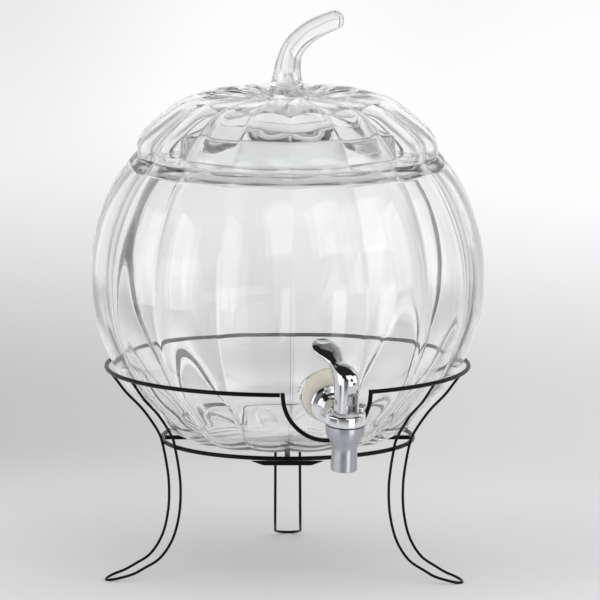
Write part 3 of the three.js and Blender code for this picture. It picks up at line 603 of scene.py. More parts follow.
TOP_RING_RADIUS = jar_radius_at(TOP_RING_HEIGHT + RING_WIRE_RADIUS) + TOP_RING_CLEARANCE + RING_WIRE_RADIUS
LOWER_RING_RADIUS = JAR_OUTLINE_SHARES[0][0] * JAR_RADIUS + LOWER_RING_OUTSET
DIP_DEPTH = TOP_RING_HEIGHT - (BOSS.z - DIP_DROP)


def ring_path(radius, height, start, sweep):
    return [about_axis(radius, start + sweep * i / RING_STEPS, height) for i in range(RING_STEPS + 1)]


def top_ring():
    half = math.asin((DIP_HALF_WIDTH + RING_WIRE_RADIUS + GAP) / TOP_RING_RADIUS)
    path = ring_path(TOP_RING_RADIUS, TOP_RING_HEIGHT, SPIGOT_TURN + half, 2 * (math.pi - half))
    return swept("top_ring_wire", path, RING_WIRE_RADIUS)


def spigot_dip():
    """The dip below the spigot, bent round the same cylinder as the top ring."""
    turns = [math.pi * i / DIP_ARC_STEPS for i in range(DIP_ARC_STEPS + 1)]
    bends = [(DIP_HALF_WIDTH * math.cos(turn), -DIP_DEPTH * math.sin(turn)) for turn in turns]
    bends = [(DIP_HALF_WIDTH, RING_WIRE_RADIUS)] + bends + [(-DIP_HALF_WIDTH, RING_WIRE_RADIUS)]
    points = [
        about_axis(TOP_RING_RADIUS, SPIGOT_TURN + math.asin(across / TOP_RING_RADIUS), TOP_RING_HEIGHT + up)
        for across, up in bends
    ]
    return swept("spigot_dip_wire", sampled(points, DIP_STEPS), RING_WIRE_RADIUS)


def lower_ring():
    path = ring_path(LOWER_RING_RADIUS, LOWER_RING_HEIGHT, 0, 2 * math.pi)[:-1]
    return swept("lower_ring_wire", path, RING_WIRE_RADIUS, closed=True)


def leg(name, turn, ring_spacing, top_spacing):
    """A hairpin leg: up from its foot, past the lower ring, beside the jar and out to the top ring, on both sides."""
    foot_height = LEG_WIRE_RADIUS - FOOT_FLAT
    loop_height = foot_height + FOOT_LOOP_RISE

    def half_spacing(height):
        if height > LOWER_RING_HEIGHT:
            up = (height - LOWER_RING_HEIGHT) / (TOP_RING_HEIGHT - LOWER_RING_HEIGHT)
            return (ring_spacing + (top_spacing - ring_spacing) * up) / 2
        up = max(height - loop_height, 0) / (LOWER_RING_HEIGHT - loop_height)
        return (FOOT_SPACING + (ring_spacing - FOOT_SPACING) * up) / 2

    def out_from(radius, height):
        return math.sqrt(radius**2 - half_spacing(height) ** 2)

    facet_radius = LOWER_RING_RADIUS * math.cos(math.pi / CAD_RING_STEPS)
    hugging = facet_radius + RING_WIRE_RADIUS + GAP + LEG_WIRE_RADIUS
    contact = np.array([out_from(hugging, LOWER_RING_HEIGHT), LOWER_RING_HEIGHT])
    ring = np.array([out_from(TOP_RING_RADIUS, TOP_RING_HEIGHT), TOP_RING_HEIGHT])
    bend = np.array([FOOT_REACH - FOOT_LOOP_REACH, loop_height])
    beside_jar = []
    for up in UPPER_LEG_SHARES:
        height = LOWER_RING_HEIGHT + (TOP_RING_HEIGHT - LOWER_RING_HEIGHT) * up
        clear = jar_radius_at(height) + LEG_CLEARANCE + LEG_WIRE_RADIUS
        beside_jar.append(np.array([out_from(clear, height), height]))
    neck = contact + (ring - contact) * np.array(LEG_NECK_SHARES)
    lower = [
        np.array([contact[0] + (bend[0] - contact[0]) * out, bend[1] + (contact[1] - bend[1]) * up])
        for out, up in LOWER_LEG_SHARES
    ]
    heading = (ring - beside_jar[-1]) / np.linalg.norm(ring - beside_jar[-1])
    end = ring - heading * (RING_WIRE_RADIUS + GAP)
    side = [bend] + lower + [contact, neck] + beside_jar + [end - heading * LEG_TOP_STRAIGHT, end]
    loop = []
    for i in range(1, FOOT_LOOP_STEPS):
        swing = math.pi * i / FOOT_LOOP_STEPS
        reach = bend[0] + FOOT_LOOP_REACH * math.sin(swing)
        loop.append((-FOOT_SPACING / 2 * math.cos(swing), -reach, bend[1] - FOOT_LOOP_RISE * math.sin(swing)))
    points = [(-half_spacing(p[1]), -p[0], p[1]) for p in reversed(side)]
    points += loop
    points += [(half_spacing(p[1]), -p[0], p[1]) for p in side]
    place = JAR_FRAME @ Matrix.Rotation(turn, 4, "Z")
    piece = swept(name, [place @ Vector(p) for p in sampled(points, LEG_STEPS)], LEG_WIRE_RADIUS, LEG_SIDES)
    for vertex in piece.data.vertices:
        vertex.co.z = max(vertex.co.z, 0)
    return piece


def prism(corners, depth, matrix):
    """Vertices and faces of an outline in the matrix's XZ plane, thickened both ways along its Y."""
    count = len(corners)
    vertices = [matrix @ Vector((x, side * depth / 2, z)) for side in (-1, 1) for x, z in corners]
    faces = [list(range(count)), list(range(count, 2 * count))[::-1]]
    faces += [[i, (i + 1) % count, count + (i + 1) % count, count + i] for i in range(count)]
    return vertices, faces


def bevelled(piece, width, segments, degrees=None):
    """Rounds a piece's edges: all of them, or those sharper than an angle."""
    bevel = piece.modifiers.new("soft edges", "BEVEL")
    bevel.width = width
    bevel.segments = segments
    if degrees:
        bevel.limit_method = "ANGLE"
        bevel.angle_limit = math.radians(degrees)
    applied(piece)
    return piece


def bar(name, corners, depth, matrix):
    """A flat bar with softened edges."""
    return soften(bevelled(mesh_object(name, *prism(corners, depth, matrix)), BAR_BEVEL, 3), degrees=40)


def tab(name, turn):
    outer = LOWER_RING_RADIUS - RING_WIRE_RADIUS - GAP
    half = TAB_THICKNESS / 2
    corners = [(outer, -half), (outer, half), (outer - TAB_LENGTH, half), (outer - TAB_LENGTH + TAB_TAPER, -half)]
    place = Matrix.Translation((0, AXIS_Y, LOWER_RING_HEIGHT)) @ Matrix.Rotation(turn - math.pi / 2, 4, "Z")
    return bar(name, corners, TAB_WIDTH, place)


def front_brace():
    half = BRACE_LENGTH / 2
    thick = RING_WIRE_RADIUS
    corners = [(-half, thick), (BRACE_TAPER - half, -thick), (half - BRACE_TAPER, -thick), (half, thick)]
    low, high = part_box("front_brace")
    place = Matrix.Translation((low + high) / 2)
    return bar("front_brace_bar", corners, 2 * thick, place)


def outer_washer():
    """The washer sits a little high on the shank, so its hole is cut apart from its rim."""
    rim = WASHER_THICKNESS + GAP
    soft = WASHER_CROWN / 2
    disc = [(0, GAP)] + lower_rim(WASHER_RADIUS, GAP, soft) + upper_rim(WASHER_RADIUS, rim - 2 * soft, soft)
    crown = WASHER_RADIUS - soft - FLANGE_RADIUS
    for i in range(1, WASHER_CROWN_STEPS + 1):
        share = i / WASHER_CROWN_STEPS
        disc.append((WASHER_RADIUS - soft - crown * share, rim - WASHER_CROWN * (1 - math.sin(share * math.pi / 2))))
    disc.append((0, rim))
    washer = revolved("spigot_washer", disc, Matrix.Translation(BARREL_UP * WASHER_RISE) @ PIPE_FRAME)
    bored(washer, SHANK_HOLE_RADIUS, -OVERRUN, rim + OVERRUN, PIPE_FRAME)
    return soften(washer, degrees=40)


def inner_washer():
    top = -(BOSS_WALL + GAP)
    bottom = top - INNER_WASHER_THICKNESS
    profile = [(SHANK_HOLE_RADIUS, bottom)] + lower_rim(INNER_WASHER_RADIUS, bottom, PLASTIC_EDGE, steps=4)
    profile += upper_rim(INNER_WASHER_RADIUS, top, PLASTIC_EDGE, steps=4)
    profile += [(SHANK_HOLE_RADIUS, top), (SHANK_HOLE_RADIUS, bottom)]
    return revolved("inner_spigot_washer", profile, PIPE_FRAME)


# Where the lock nut starts, along the pipe from the boss.
NUT_START = -(BOSS_WALL + GAP + INNER_WASHER_THICKNESS) - GAP


def lock_nut():
    """A hexagon nut with a round flange."""
    start = NUT_START
    end = start - NUT_THICKNESS
    flange_end = start - NUT_FLANGE_THICKNESS
    flange = [(0, flange_end)] + lower_rim(INNER_WASHER_RADIUS, flange_end, PLASTIC_EDGE, steps=4)
    flange += [(INNER_WASHER_RADIUS, start), (0, start)]
    nut = revolved("lock_nut_fine", flange, PIPE_FRAME)
    across = NUT_ACROSS / 2 / math.cos(math.pi / 6)
    hexagon = revolved("hexagon", cylinder(across, end, start - NUT_FLANGE_THICKNESS / 2), PIPE_FRAME, sides=6)
    cone = [(0, end), (across - NUT_CHAMFER, end), (across + NUT_CHAMFER, end + NUT_CHAMFER)]
    cone += [(across + NUT_CHAMFER, start), (0, start)]
    boolean(hexagon, revolved("chamfer", cone, PIPE_FRAME), "INTERSECT")
    boolean(nut, hexagon, "UNION")
    bored(nut, SHANK_RADIUS + GAP, end - OVERRUN, start + OVERRUN, PIPE_FRAME)
    return soften(nut, degrees=30)


def spigot_body():
    """Shank, flange, pipe, barrel and faceted head as one chromed casting."""
    back = GAP + WASHER_THICKNESS + GAP
    end = NUT_START - NUT_THICKNESS - SHANK_STICK_OUT
    thread_start = end + 2 * GAP
    pipe = [(0, end), (SHANK_RADIUS - GAP, end), (SHANK_RADIUS, thread_start)]
    for i in range(int((-BOSS_WALL - thread_start) / THREAD_PITCH) + 1):
        foot = thread_start + i * THREAD_PITCH
        pipe += [(SHANK_RADIUS - depth, foot + share * THREAD_PITCH) for share, depth in THREAD_PROFILE]
    pipe.append((SHANK_RADIUS, back))
    pipe += lower_rim(FLANGE_RADIUS, back, FLANGE_EDGE, steps=4)
    curve = [(radius, back + FLANGE_THICKNESS * share) for radius, share in FLANGE_CURVE]
    pipe += [tuple(p) for p in sampled(curve, FLANGE_CURVE_STEPS)]
    pipe += [(PIPE_RADIUS, BARREL_REACH), (0, BARREL_REACH)]
    body = revolved("spigot_casting", pipe, PIPE_FRAME)
    barrel = cylinder(BARREL_RADIUS, -BARREL_FLOOR, HEAD_TOP - HEAD_CHAMFER)
    boolean(body, revolved("barrel", barrel, BARREL_FRAME), "UNION")
    bottom = HEAD_TOP - HEAD_HEIGHT
    head = [
        (0, bottom), (HEAD_RADIUS - HEAD_CHAMFER, bottom), (HEAD_RADIUS, bottom + HEAD_CHAMFER),
        (HEAD_RADIUS, HEAD_TOP - HEAD_CHAMFER), (HEAD_RADIUS - HEAD_CHAMFER, HEAD_TOP), (0, HEAD_TOP),
    ]
    boolean(body, revolved("head", head, BARREL_FRAME, sides=HEAD_FACETS), "UNION")
    bored(body, BARREL_BORE, -BARREL_FLOOR + BARREL_FLOOR_THICKNESS, HEAD_TOP, BARREL_FRAME)
    bored(body, HEAD_RECESS_RADIUS, BARREL_TOP, HEAD_TOP + OVERRUN, BARREL_FRAME)
    bored(body, OUTLET_HOLE_RADIUS, -BARREL_FLOOR - OVERRUN, 0, BARREL_FRAME)
    bored(body, WATERWAY_RADIUS, end - OVERRUN, BARREL_REACH, PIPE_FRAME)
    return soften(bevelled(body, CASTING_BEVEL, 2, CASTING_BEVEL_DEGREES), degrees=24)


def nozzle():
    """The nozzle: a sleeve over the barrel, notched for the pipe, that narrows to the outlet."""
    top = HEAD_TOP - HEAD_HEIGHT - GAP
    bottom = top - NOZZLE_LENGTH
    swell = NOZZLE_TOP_RADIUS - NOZZLE_WAIST_RADIUS
    shoulder = [(NOZZLE_WAIST_RADIUS + swell * thick, along) for along, thick in NOZZLE_SHOULDER_SHARES]
    shoulder.append(((NOZZLE_WAIST_RADIUS + NOZZLE_OUTLET_RADIUS) / 2, NOZZLE_SWELL_SHARE))
    shoulder.append((NOZZLE_OUTLET_RADIUS, NOZZLE_END_SHARE))
    shoulder = [(radius, top - NOZZLE_LENGTH * along) for radius, along in shoulder]
    sleeve = BARREL_RADIUS + GAP
    ledge = -BARREL_FLOOR - GAP
    outlet = NOZZLE_OUTLET_RADIUS - NOZZLE_WALL
    throat = NOZZLE_WAIST_RADIUS - NOZZLE_WALL
    profile = [(sleeve, top)] + [tuple(p) for p in sampled(shoulder, NOZZLE_SHOULDER_STEPS)]
    profile += lower_rim(NOZZLE_OUTLET_RADIUS, bottom, NOZZLE_LIP)[::-1]
    profile += [(outlet + OUTLET_CHAMFER, bottom), (outlet, bottom + OUTLET_CHAMFER)]
    profile += [(throat, top - NOZZLE_LENGTH * NOZZLE_THROAT_SHARE), (sleeve - NOZZLE_WALL, ledge)]
    profile += [(sleeve, ledge), (sleeve, top)]
    body = revolved("nozzle_sleeve", profile, BARREL_FRAME)
    notch = PIPE_RADIUS + GAP
    bored(body, notch, -OVERRUN, BARREL_REACH, PIPE_FRAME)
    corners = [(-notch, 0), (notch, 0), (notch, top + OVERRUN), (-notch, top + OVERRUN)]
    half = BARREL_FRAME @ Matrix.Translation((0, BARREL_REACH / 2, 0))
    boolean(body, mesh_object("slot", *prism(corners, BARREL_REACH, half)), "DIFFERENCE")
    return soften(body, degrees=32)


def bonnet():
    """The bonnet: a plug in the barrel's bore under a plate with a hole for the rod."""
    bottom = BARREL_TOP + GAP
    top = bottom + BONNET_THICKNESS
    plug_end = bottom - BONNET_PLUG_DEPTH
    plug = BARREL_BORE - GAP
    radius = HEAD_RECESS_RADIUS - GAP
    hole = STEM_ROD_RADIUS + STEM_ROD_CLEARANCE
    profile = [(hole, plug_end), (plug, plug_end), (plug, bottom), (radius, bottom)]
    profile += upper_rim(radius, top, BONNET_EDGE, steps=3) + [(hole, top), (hole, plug_end)]
    return revolved("bonnet_cap", profile, BARREL_FRAME)


def lever():
    """The cast lever: a slotted hood that narrows to a neck and widens into a dished paddle."""
    fork = BARREL_TOP + BONNET_THICKNESS + CAM_WASHER_THICKNESS + 3 * GAP

    def placed(shares):
        return [(out * LEVER_REACH, fork + up * PADDLE_TOP) for out, up in shares]

    top = [(-HOOD_RADIUS, fork), (-HOOD_RADIUS, fork + HOOD_FRONT_SHARE * PADDLE_TOP)] + placed(LEVER_TOP_SHARES)
    under = [(HOOD_RADIUS, fork), (HOOD_RADIUS, fork + HOOD_BACK_SHARE * PADDLE_TOP)] + placed(LEVER_UNDER_SHARES)
    reaches = [out * LEVER_REACH for out, wide in LEVER_HALF_WIDTHS]
    widths = [wide * PADDLE_WIDTH / 2 for out, wide in LEVER_HALF_WIDTHS]
    vertices = []
    for high, low in zip(by_length(top), by_length(under)):
        middle = (high + low) / 2
        thick = (high - low) / 2
        wide = np.interp(middle[0], reaches, widths)
        for k in range(LEVER_SIDES):
            turn = 2 * math.pi * k / LEVER_SIDES
            place = middle + thick * squared(math.sin(turn))
            vertices.append(LEVER_FRAME @ Vector((wide * squared(math.cos(turn)), *place)))
    rings = [list(range(i * LEVER_SIDES, (i + 1) * LEVER_SIDES)) for i in range(LEVER_STEPS)]
    body = mesh_object("lever_casting", vertices, [rings[0], rings[-1][::-1]] + walls(zip(rings, rings[1:])))
    half = SLOT_WIDTH / 2
    corners = [(-half, fork - OVERRUN), (half, fork - OVERRUN), (half, fork + SLOT_HEIGHT), (-half, fork + SLOT_HEIGHT)]
    boolean(body, mesh_object("slot", *prism(corners, 4 * HOOD_RADIUS, LEVER_FRAME)), "DIFFERENCE")
    pin = LEVER_FRAME @ Matrix.Translation((0, 0, fork + PIN_HEIGHT)) @ Matrix.Rotation(math.pi / 2, 4, "Y")
    bored(body, PIN_RADIUS + GAP, -2 * HOOD_RADIUS, 2 * HOOD_RADIUS, pin)
    dish = LEVER_FRAME @ Matrix.Translation((0, LEVER_REACH - PADDLE_LENGTH / 2, fork + PADDLE_TOP))
    dish = dish @ Matrix.Diagonal((PADDLE_WIDTH / 2 - DISH_INSET, PADDLE_LENGTH / 2 - DISH_INSET, DISH_DEPTH, 1))
    turns = [math.pi * (i / DISH_STEPS - 0.5) for i in range(1, DISH_STEPS)]
    ball = [(0, -1)] + [(math.cos(turn), math.sin(turn)) for turn in turns] + [(0, 1)]
    boolean(body, revolved("dish", ball, dish), "DIFFERENCE")
    return soften(body, degrees=38)


def squared(value):
    """A cosine or sine made a little squarer, for the section of a casting with soft corners."""
    return math.copysign(abs(value) ** LEVER_SQUARENESS, value)


def by_length(points):
    """The lever's places at even lengths along a smooth curve through the points."""
    fine = sampled(points, LEVER_FINE_STEPS)
    lengths = lengths_along(fine)
    return [at_length(length, lengths, fine) for length in np.linspace(0, lengths[-1], LEVER_STEPS)]


def node_adder(tree):
    """A function that adds a node to a tree, sets it up, and links or fills its inputs."""
    def add(kind, inputs=None, **settings):
        node = tree.nodes.new(kind)
        for key, value in settings.items():
            setattr(node, key, value)
        for key, value in (inputs or {}).items():
            if isinstance(value, bpy.types.NodeSocket):
                tree.links.new(value, node.inputs[key])
            else:
                node.inputs[key].default_value = value
        return node

    return add


# where a noise's first and second colour stand
MOTTLE_STOPS = (0.3, 0.7)


class Look:
    """A node material whose Principled shader is fed by noises in the object's own space."""

    def __init__(self, name, **values):
        self.material = bpy.data.materials.new(name)
        self.material.use_nodes = True
        self.nodes = self.material.node_tree.nodes
        self.link = self.material.node_tree.links.new
        self.shader = self.nodes["Principled BSDF"]
        self.add = node_adder(self.material.node_tree)
        self.place = self.add("ShaderNodeTexCoord").outputs["Object"]
        for key, value in values.items():
            self.shader.inputs[key.replace("_", " ")].default_value = value

    def noise(self, scale, detail, stretch=None):
        place = self.place
        if stretch:
            place = self.add("ShaderNodeMapping", {"Vector": place, "Scale": stretch}).outputs["Vector"]
        return self.add("ShaderNodeTexNoise", {"Vector": place, "Scale": scale, "Detail": detail}).outputs["Fac"]

    def colour(self, noise, first, second):
        ramp = self.add("ShaderNodeValToRGB", {"Fac": noise})
        for element, place, colour in zip(ramp.color_ramp.elements, MOTTLE_STOPS, (first, second)):
            element.position = place
            element.color = (*colour, 1)
        self.link(ramp.outputs["Color"], self.shader.inputs["Base Color"])

    def rough(self, noise, least, most, start=0, end=1):
        inputs = {"Value": noise, "From Min": start, "From Max": end, "To Min": least, "To Max": most}
        self.link(self.add("ShaderNodeMapRange", inputs).outputs["Result"], self.shader.inputs["Roughness"])

    def bump(self, noise, strength, distance):
        inputs = {"Height": noise, "Strength": strength, "Distance": distance}
        self.link(self.add("ShaderNodeBump", inputs).outputs["Normal"], self.shader.inputs["Normal"])


def mottled(name, mottle, colours, rough, span=(0, 1), rough_noise=None, bump=None, bump_noise=None, **values):
    """A mottled material. Its roughness and its bump follow the mottle, or a noise of their own."""
    look = Look(name, **values)
    mottle = look.noise(*mottle)
    look.colour(mottle, *colours)
    if bump:
        look.bump(look.noise(*bump_noise) if bump_noise else mottle, *bump)
    look.rough(look.noise(*rough_noise) if rough_noise else mottle, *rough, *span)
    return look


# Clear pressed glass: faint waves in its skin, a trace of green in thick places, a few soft smears.
GLASS = {
    "mottle": (9, 2), "colours": ((0.982, 0.988, 0.986), (0.998, 1, 0.999)), "bump": (0.05, 0.004),
    "bump_noise": (26, 1), "rough": (0, 0.03), "span": (0.62, 0.8), "rough_noise": (14, 4), "IOR": 1.5,
}
# Each noise is its scale, its detail and how it is stretched along X, Y and Z.
LOOKS = {
    "glass": mottled("clear_pressed_glass", **GLASS, Transmission_Weight=0.96),
    "lid_glass": mottled("clear_lid_glass", **GLASS, Transmission_Weight=0.98),
    # gloss black with a fine orange peel
    "black_wire": mottled(
        "black_powder_coat", (60, 3), ((0.0015, 0.0015, 0.0015), (0.005, 0.005, 0.005)), (0.25, 0.4),
        bump=(0.15, 0.0002), bump_noise=(900, 2), Specular_IOR_Level=0.12,
    ),
    # faint handling marks
    "chrome": mottled(
        "bright_chrome", (120, 4), ((0.72, 0.73, 0.75), (0.82, 0.83, 0.85)), (0.03, 0.1), (0.4, 0.8), Metallic=1,
    ),
    # fine turning lines round the barrel, which stretch its highlight along the barrel
    "satin_metal": mottled(
        "satin_silver", (1, 3, (90, 90, 5200)), ((0.43, 0.44, 0.47), (0.47, 0.48, 0.51)), (0.32, 0.38),
        bump=(0.02, 0.0001), Metallic=1, Anisotropic=0.75, Anisotropic_Rotation=0.25,
    ),
    # waxy, with a fine grain
    "cream_silicone": mottled(
        "cream_silicone_rubber", (70, 4), ((0.6, 0.565, 0.48), (0.71, 0.675, 0.585)), (0.4, 0.6),
        bump=(0.12, 0.0003), bump_noise=(700, 2), Subsurface_Weight=0.15, Subsurface_Radius=(0.004, 0.003, 0.002),
    ),
    # a fine matt grain
    "white_plastic": mottled(
        "white_moulded_plastic", (50, 3), ((0.74, 0.74, 0.72), (0.82, 0.82, 0.8)), (0.35, 0.5),
        rough_noise=(1200, 2), bump=(0.1, 0.0002), bump_noise=(1200, 2),
    ),
    # fine lines along the wire, and a slightly warm grey
    "spring_steel": mottled(
        "drawn_spring_steel", (1, 3, (1800, 1800, 120)), ((0.42, 0.42, 0.43), (0.6, 0.6, 0.61)), (0.2, 0.35),
        Metallic=1,
    ),
}
MATERIALS = {slot: look.material for slot, look in LOOKS.items()}
satin = LOOKS["satin_metal"]
tangent = satin.add("ShaderNodeTangent", direction_type="RADIAL", axis="Z").outputs["Tangent"]
satin.link(tangent, satin.shader.inputs["Tangent"])


def dress(piece, body, slot, *nodes, look=None):
    """Gives a new piece its material and its body, and hides the nodes that it stands for."""
    piece.data.materials.clear()
    piece.data.materials.append(MATERIALS[look or slot])
    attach(piece, body)
    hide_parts(*nodes)


def dress_node(node, slot):
    """Gives a node that stays its own material."""
    mesh = bpy.data.objects[node].data
    mesh.materials.clear()
    mesh.materials.append(MATERIALS[slot])


def build():
    dress(jar(), "jar", "glass", "jar")
    dress(lid(), "lid", "glass", "lid", "lid_stem", look="lid_glass")
    dress(top_ring(), "stand", "black_wire", "top_ring")
    dress(spigot_dip(), "stand", "black_wire", "spigot_dip")
    dress(lower_ring(), "stand", "black_wire", "lower_ring")
    for name, (turn, ring_spacing, top_spacing) in LEGS.items():
        wire = leg(name + "_wire", math.radians(turn), ring_spacing, top_spacing)
        dress(wire, "stand", "black_wire", name)
    for name, turn in TAB_TURNS.items():
        dress(tab(name + "_bar", math.radians(turn)), "stand", "black_wire", name)
    dress(front_brace(), "stand", "black_wire", "front_brace")
    dress(outer_washer(), "jar", "cream_silicone", "outer_washer")
    dress(inner_washer(), "jar", "white_plastic", "inner_washer")
    dress(lock_nut(), "jar", "white_plastic", "lock_nut")
    dress(spigot_body(), "jar", "chrome", "spigot_body")
    dress(nozzle(), "jar", "satin_metal", "nozzle")
    dress(bonnet(), "jar", "chrome", "bonnet")
    dress(lever(), "lever", "chrome", "lever")
    for node, slot in (
        ("valve_spring", "spring_steel"), ("cam_washer", "white_plastic"), ("valve_stem", "spring_steel"),
        ("seat_cup", "cream_silicone"), ("lever_pin", "spring_steel"),
    ):
        dress_node(node, slot)


build()


FLOOR_RADIUS = 1.2
FLOOR_HEIGHT = -0.0002
FLOOR_FADE_START = 0.3
FLOOR_FADE_END = 0.62


def floor():
    """A pale floor that fades out before its rim."""
    bpy.ops.mesh.primitive_circle_add(vertices=96, radius=FLOOR_RADIUS, fill_type="NGON", location=(0, 0, FLOOR_HEIGHT))
    plane = bpy.context.object
    plane.name = "studio_floor"
    look = Look("pale_floor", Roughness=0.9, Specular_IOR_Level=0.1)
    look.colour(look.noise(3, 2), (0.76, 0.76, 0.765), (0.79, 0.79, 0.795))
    reach = look.add("ShaderNodeVectorMath", {0: look.place}, operation="LENGTH").outputs["Value"]
    span = {"Value": reach, "From Min": FLOOR_FADE_START, "From Max": FLOOR_FADE_END}
    fade = look.add("ShaderNodeMapRange", span, interpolation_type="SMOOTHSTEP")
    clear = look.add("ShaderNodeBsdfTransparent")
    shaders = {0: fade.outputs["Result"], 1: look.shader.outputs[0], 2: clear.outputs[0]}
    mix = look.add("ShaderNodeMixShader", shaders)
    look.link(mix.outputs[0], look.nodes["Material Output"].inputs["Surface"])
    plane.data.materials.append(look.material)


# The world's blends: where each starts and ends along one axis of the direction, and its values there.

# what the camera sees past the object
BACKDROP_RISE = (-0.166, -0.142, 0.63, 0.95)
BACKDROP_ACROSS = (-0.036, 0.036, -0.08, 0.08)
BACKDROP_DIM = (-0.142, -0.125, 0, 0.06)
BACKDROP_MOST = 0.985
GLOW_SHIFT = 0.006
GLOW_ACROSS = (0, 0.022, 0.1, 0)
GLOW_RISE = (-0.15, -0.138, 0, 1)
AROUND_BELOW = (-0.5, -0.2, 0, 1)
AROUND_ABOVE = (0, 0.3, 1, 0)
AROUND_STRENGTH = 0.7
# dark upright strips, evenly round the studio
FLAG_COUNT = 8
FLAG_TURN = math.radians(22.5)
FLAG_EDGES = (0.7, 0.98, 0, 1)
FLAG_FOOT = (-0.5, -0.3, 0, 1)
FLAG_HEAD = (0.3, 0.5, 1, 0)
FLAG_BACK = (0.6, 0.9, 1, 0.6)
FLAG_DEPTH = (-0.02, 0.15, 0.8, 1)
LIGHT_ON_MATT = 0.8
# what chrome reflects
MIRRORED_SKY = (-0.1, 0.3, 0.2, 0.02)
MIRRORED_GROUND = (-0.6, -0.3, 3, 1)
# degrees to the right of the camera, half width, lowest and highest degrees, softness, strength
WINDOWS = (
    (180, 50, -40, 42, 16, 0.85),
    (-47, 12, -40, 16, 8, 1.1),
    (-105, 16, -45, 22, 10, 0.7),
    (29, 9, -12, 30, 6, 1.1),
    (40, 10, -36, -4, 8, 3.6),
    (95, 14, -40, 26, 10, 0.65),
)
# what is seen through the glass
GLASS_RISE = (-0.185, -0.138, 0.68, 1)
GLASS_ACROSS = (-0.036, 0.036, -0.04, 0.04)
GLASS_HEAD = (0.45, 0.75, 1, 0.7)
GLASS_FOOT = (-0.27, -0.2, 0.2, 0)
GLASS_GROUND = (-0.6, -0.3, 0.9, 1)
GLASS_FRONT = (0, 0.9, 0.2, 1)


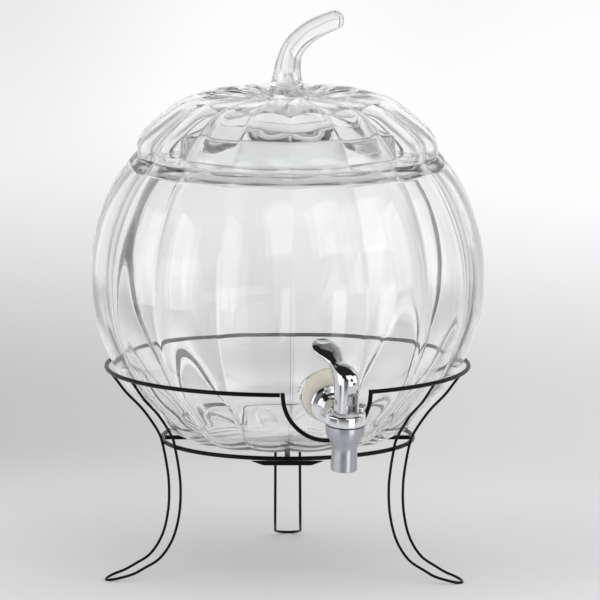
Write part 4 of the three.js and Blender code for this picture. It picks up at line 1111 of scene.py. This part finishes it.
def world():
    """Pale all round: the camera sees grey below and white above, and metal and glass see dark flags as well."""
    sky = bpy.data.worlds.new("studio")
    bpy.context.scene.world = sky
    sky.use_nodes = True
    tree = sky.node_tree
    tree.nodes.clear()
    add = node_adder(tree)

    def maths(operation, *values):
        return add("ShaderNodeMath", dict(enumerate(values)), operation=operation).outputs[0]

    def product(first, *others):
        for other in others:
            first = maths("MULTIPLY", first, other)
        return first

    def blend(value, low, high, at_low, at_high):
        inputs = {"Value": value, "From Min": low, "From Max": high, "To Min": at_low, "To Max": at_high}
        return add("ShaderNodeMapRange", inputs, interpolation_type="SMOOTHSTEP").outputs["Result"]

    def light(strength):
        return add("ShaderNodeBackground", {"Color": (1, 1, 1, 1), "Strength": strength}).outputs[0]

    def either(which, other, chosen):
        return add("ShaderNodeMixShader", {0: which, 1: other, 2: chosen}).outputs[0]

    direction_of_view = add("ShaderNodeTexCoord").outputs["Generated"]
    split = add("ShaderNodeSeparateXYZ", {"Vector": direction_of_view})
    x, y, z = (split.outputs[axis] for axis in "XYZ")
    turn = maths("ARCTAN2", x, product(y, -1))

    backdrop = maths("ADD", blend(z, *BACKDROP_RISE), blend(x, *BACKDROP_ACROSS))
    backdrop = maths("SUBTRACT", backdrop, blend(z, *BACKDROP_DIM))
    off = maths("ABSOLUTE", maths("ADD", x, GLOW_SHIFT))
    glow = product(blend(off, *GLOW_ACROSS), blend(z, *GLOW_RISE))
    backdrop = maths("MINIMUM", maths("ADD", backdrop, glow), BACKDROP_MOST)
    near = product(blend(z, *AROUND_BELOW), blend(z, *AROUND_ABOVE))
    backdrop = maths("ADD", product(backdrop, near), product(maths("SUBTRACT", 1, near), AROUND_STRENGTH))

    wave = maths("COSINE", product(maths("SUBTRACT", turn, FLAG_TURN), FLAG_COUNT))
    upright = product(blend(z, *FLAG_FOOT), blend(z, *FLAG_HEAD))
    flags = product(blend(wave, *FLAG_EDGES), upright, blend(y, *FLAG_BACK))

    def window(middle, half, low, high, soft):
        """One inside a window of the sky, and nought outside it."""
        if middle == 180:
            off = maths("SUBTRACT", math.pi, maths("ABSOLUTE", turn))
        else:
            off = maths("ABSOLUTE", maths("SUBTRACT", turn, math.radians(middle)))
        side = blend(off, math.radians(half), math.radians(half + soft), 1, 0)
        foot = blend(z, math.sin(math.radians(low - soft)), math.sin(math.radians(low)), 0, 1)
        head = blend(z, math.sin(math.radians(high)), math.sin(math.radians(high + soft)), 1, 0)
        return product(side, product(foot, head))

    studio = product(blend(z, *MIRRORED_SKY), blend(z, *MIRRORED_GROUND))
    for *place, strength in WINDOWS:
        studio = maths("MAXIMUM", studio, product(window(*place), strength))

    behind_glass = maths("ADD", blend(z, *GLASS_RISE), blend(x, *GLASS_ACROSS))
    behind_glass = maths("ADD", product(behind_glass, blend(z, *GLASS_HEAD)), blend(z, *GLASS_FOOT))
    behind_glass = product(behind_glass, blend(z, *GLASS_GROUND), blend(y, *GLASS_FRONT))
    behind_glass = product(behind_glass, maths("SUBTRACT", 1, product(flags, blend(z, *FLAG_DEPTH))))

    path = add("ShaderNodeLightPath").outputs
    shader = either(path["Is Glossy Ray"], light(LIGHT_ON_MATT), light(studio))
    shader = either(path["Is Transmission Ray"], shader, light(behind_glass))
    shader = either(path["Is Camera Ray"], shader, light(backdrop))
    tree.links.new(shader, add("ShaderNodeOutputWorld").inputs["Surface"])


# place, width and height, watts
SOFTBOXES = {
    "left_softbox": ((-1.8, -0.7, 0.55), (1.4, 1.6), 10),
    "right_softbox": ((1.8, -0.6, 0.8), (1.2, 1.6), 7),
    "front_softbox": ((0.8, -1.45, 1.5), (1.9, 1.3), 9),
}
SOFTBOX_AIM = Vector((0, AXIS_Y, 0.2))


def lights():
    for name, (place, size, power) in SOFTBOXES.items():
        data = bpy.data.lights.new(name, "AREA")
        data.shape = "RECTANGLE"
        data.size, data.size_y = size
        data.energy = power
        light = linked(name, data)
        light.location = place
        light.rotation_euler = (SOFTBOX_AIM - Vector(place)).to_track_quat("-Z", "Y").to_euler()


CAMERA_ELEVATION = math.radians(9)
CAMERA_DISTANCE = 8
CAMERA_REACH = 40
CAMERA_AIM = Vector((9.25 * MM, AXIS_Y, 201 * MM))
VIEW_WIDTH = 0.444
SENSOR = 36
LIGHT_PATH_BOUNCES = 20


def camera():
    """The photograph's view: nearly level, from far away."""
    data = bpy.data.cameras.new("camera")
    data.sensor_width = SENSOR
    data.lens = SENSOR * CAMERA_DISTANCE / VIEW_WIDTH
    data.clip_end = CAMERA_REACH
    eye = linked("camera", data)
    away = Vector((0, -math.cos(CAMERA_ELEVATION), math.sin(CAMERA_ELEVATION)))
    eye.location = CAMERA_AIM + away * CAMERA_DISTANCE
    eye.rotation_euler = (math.pi / 2 - CAMERA_ELEVATION, 0, 0)
    bpy.context.scene.camera = eye


floor()
world()
lights()
camera()
bpy.context.scene.view_settings.view_transform = "Standard"
# Light bounces in the lid's top and the jar's shoulder more often than the usual limits, which turn them black.
bpy.context.scene.cycles.glossy_bounces = LIGHT_PATH_BOUNCES
bpy.context.scene.cycles.transmission_bounces = LIGHT_PATH_BOUNCES
bpy.context.scene.cycles.max_bounces = LIGHT_PATH_BOUNCES
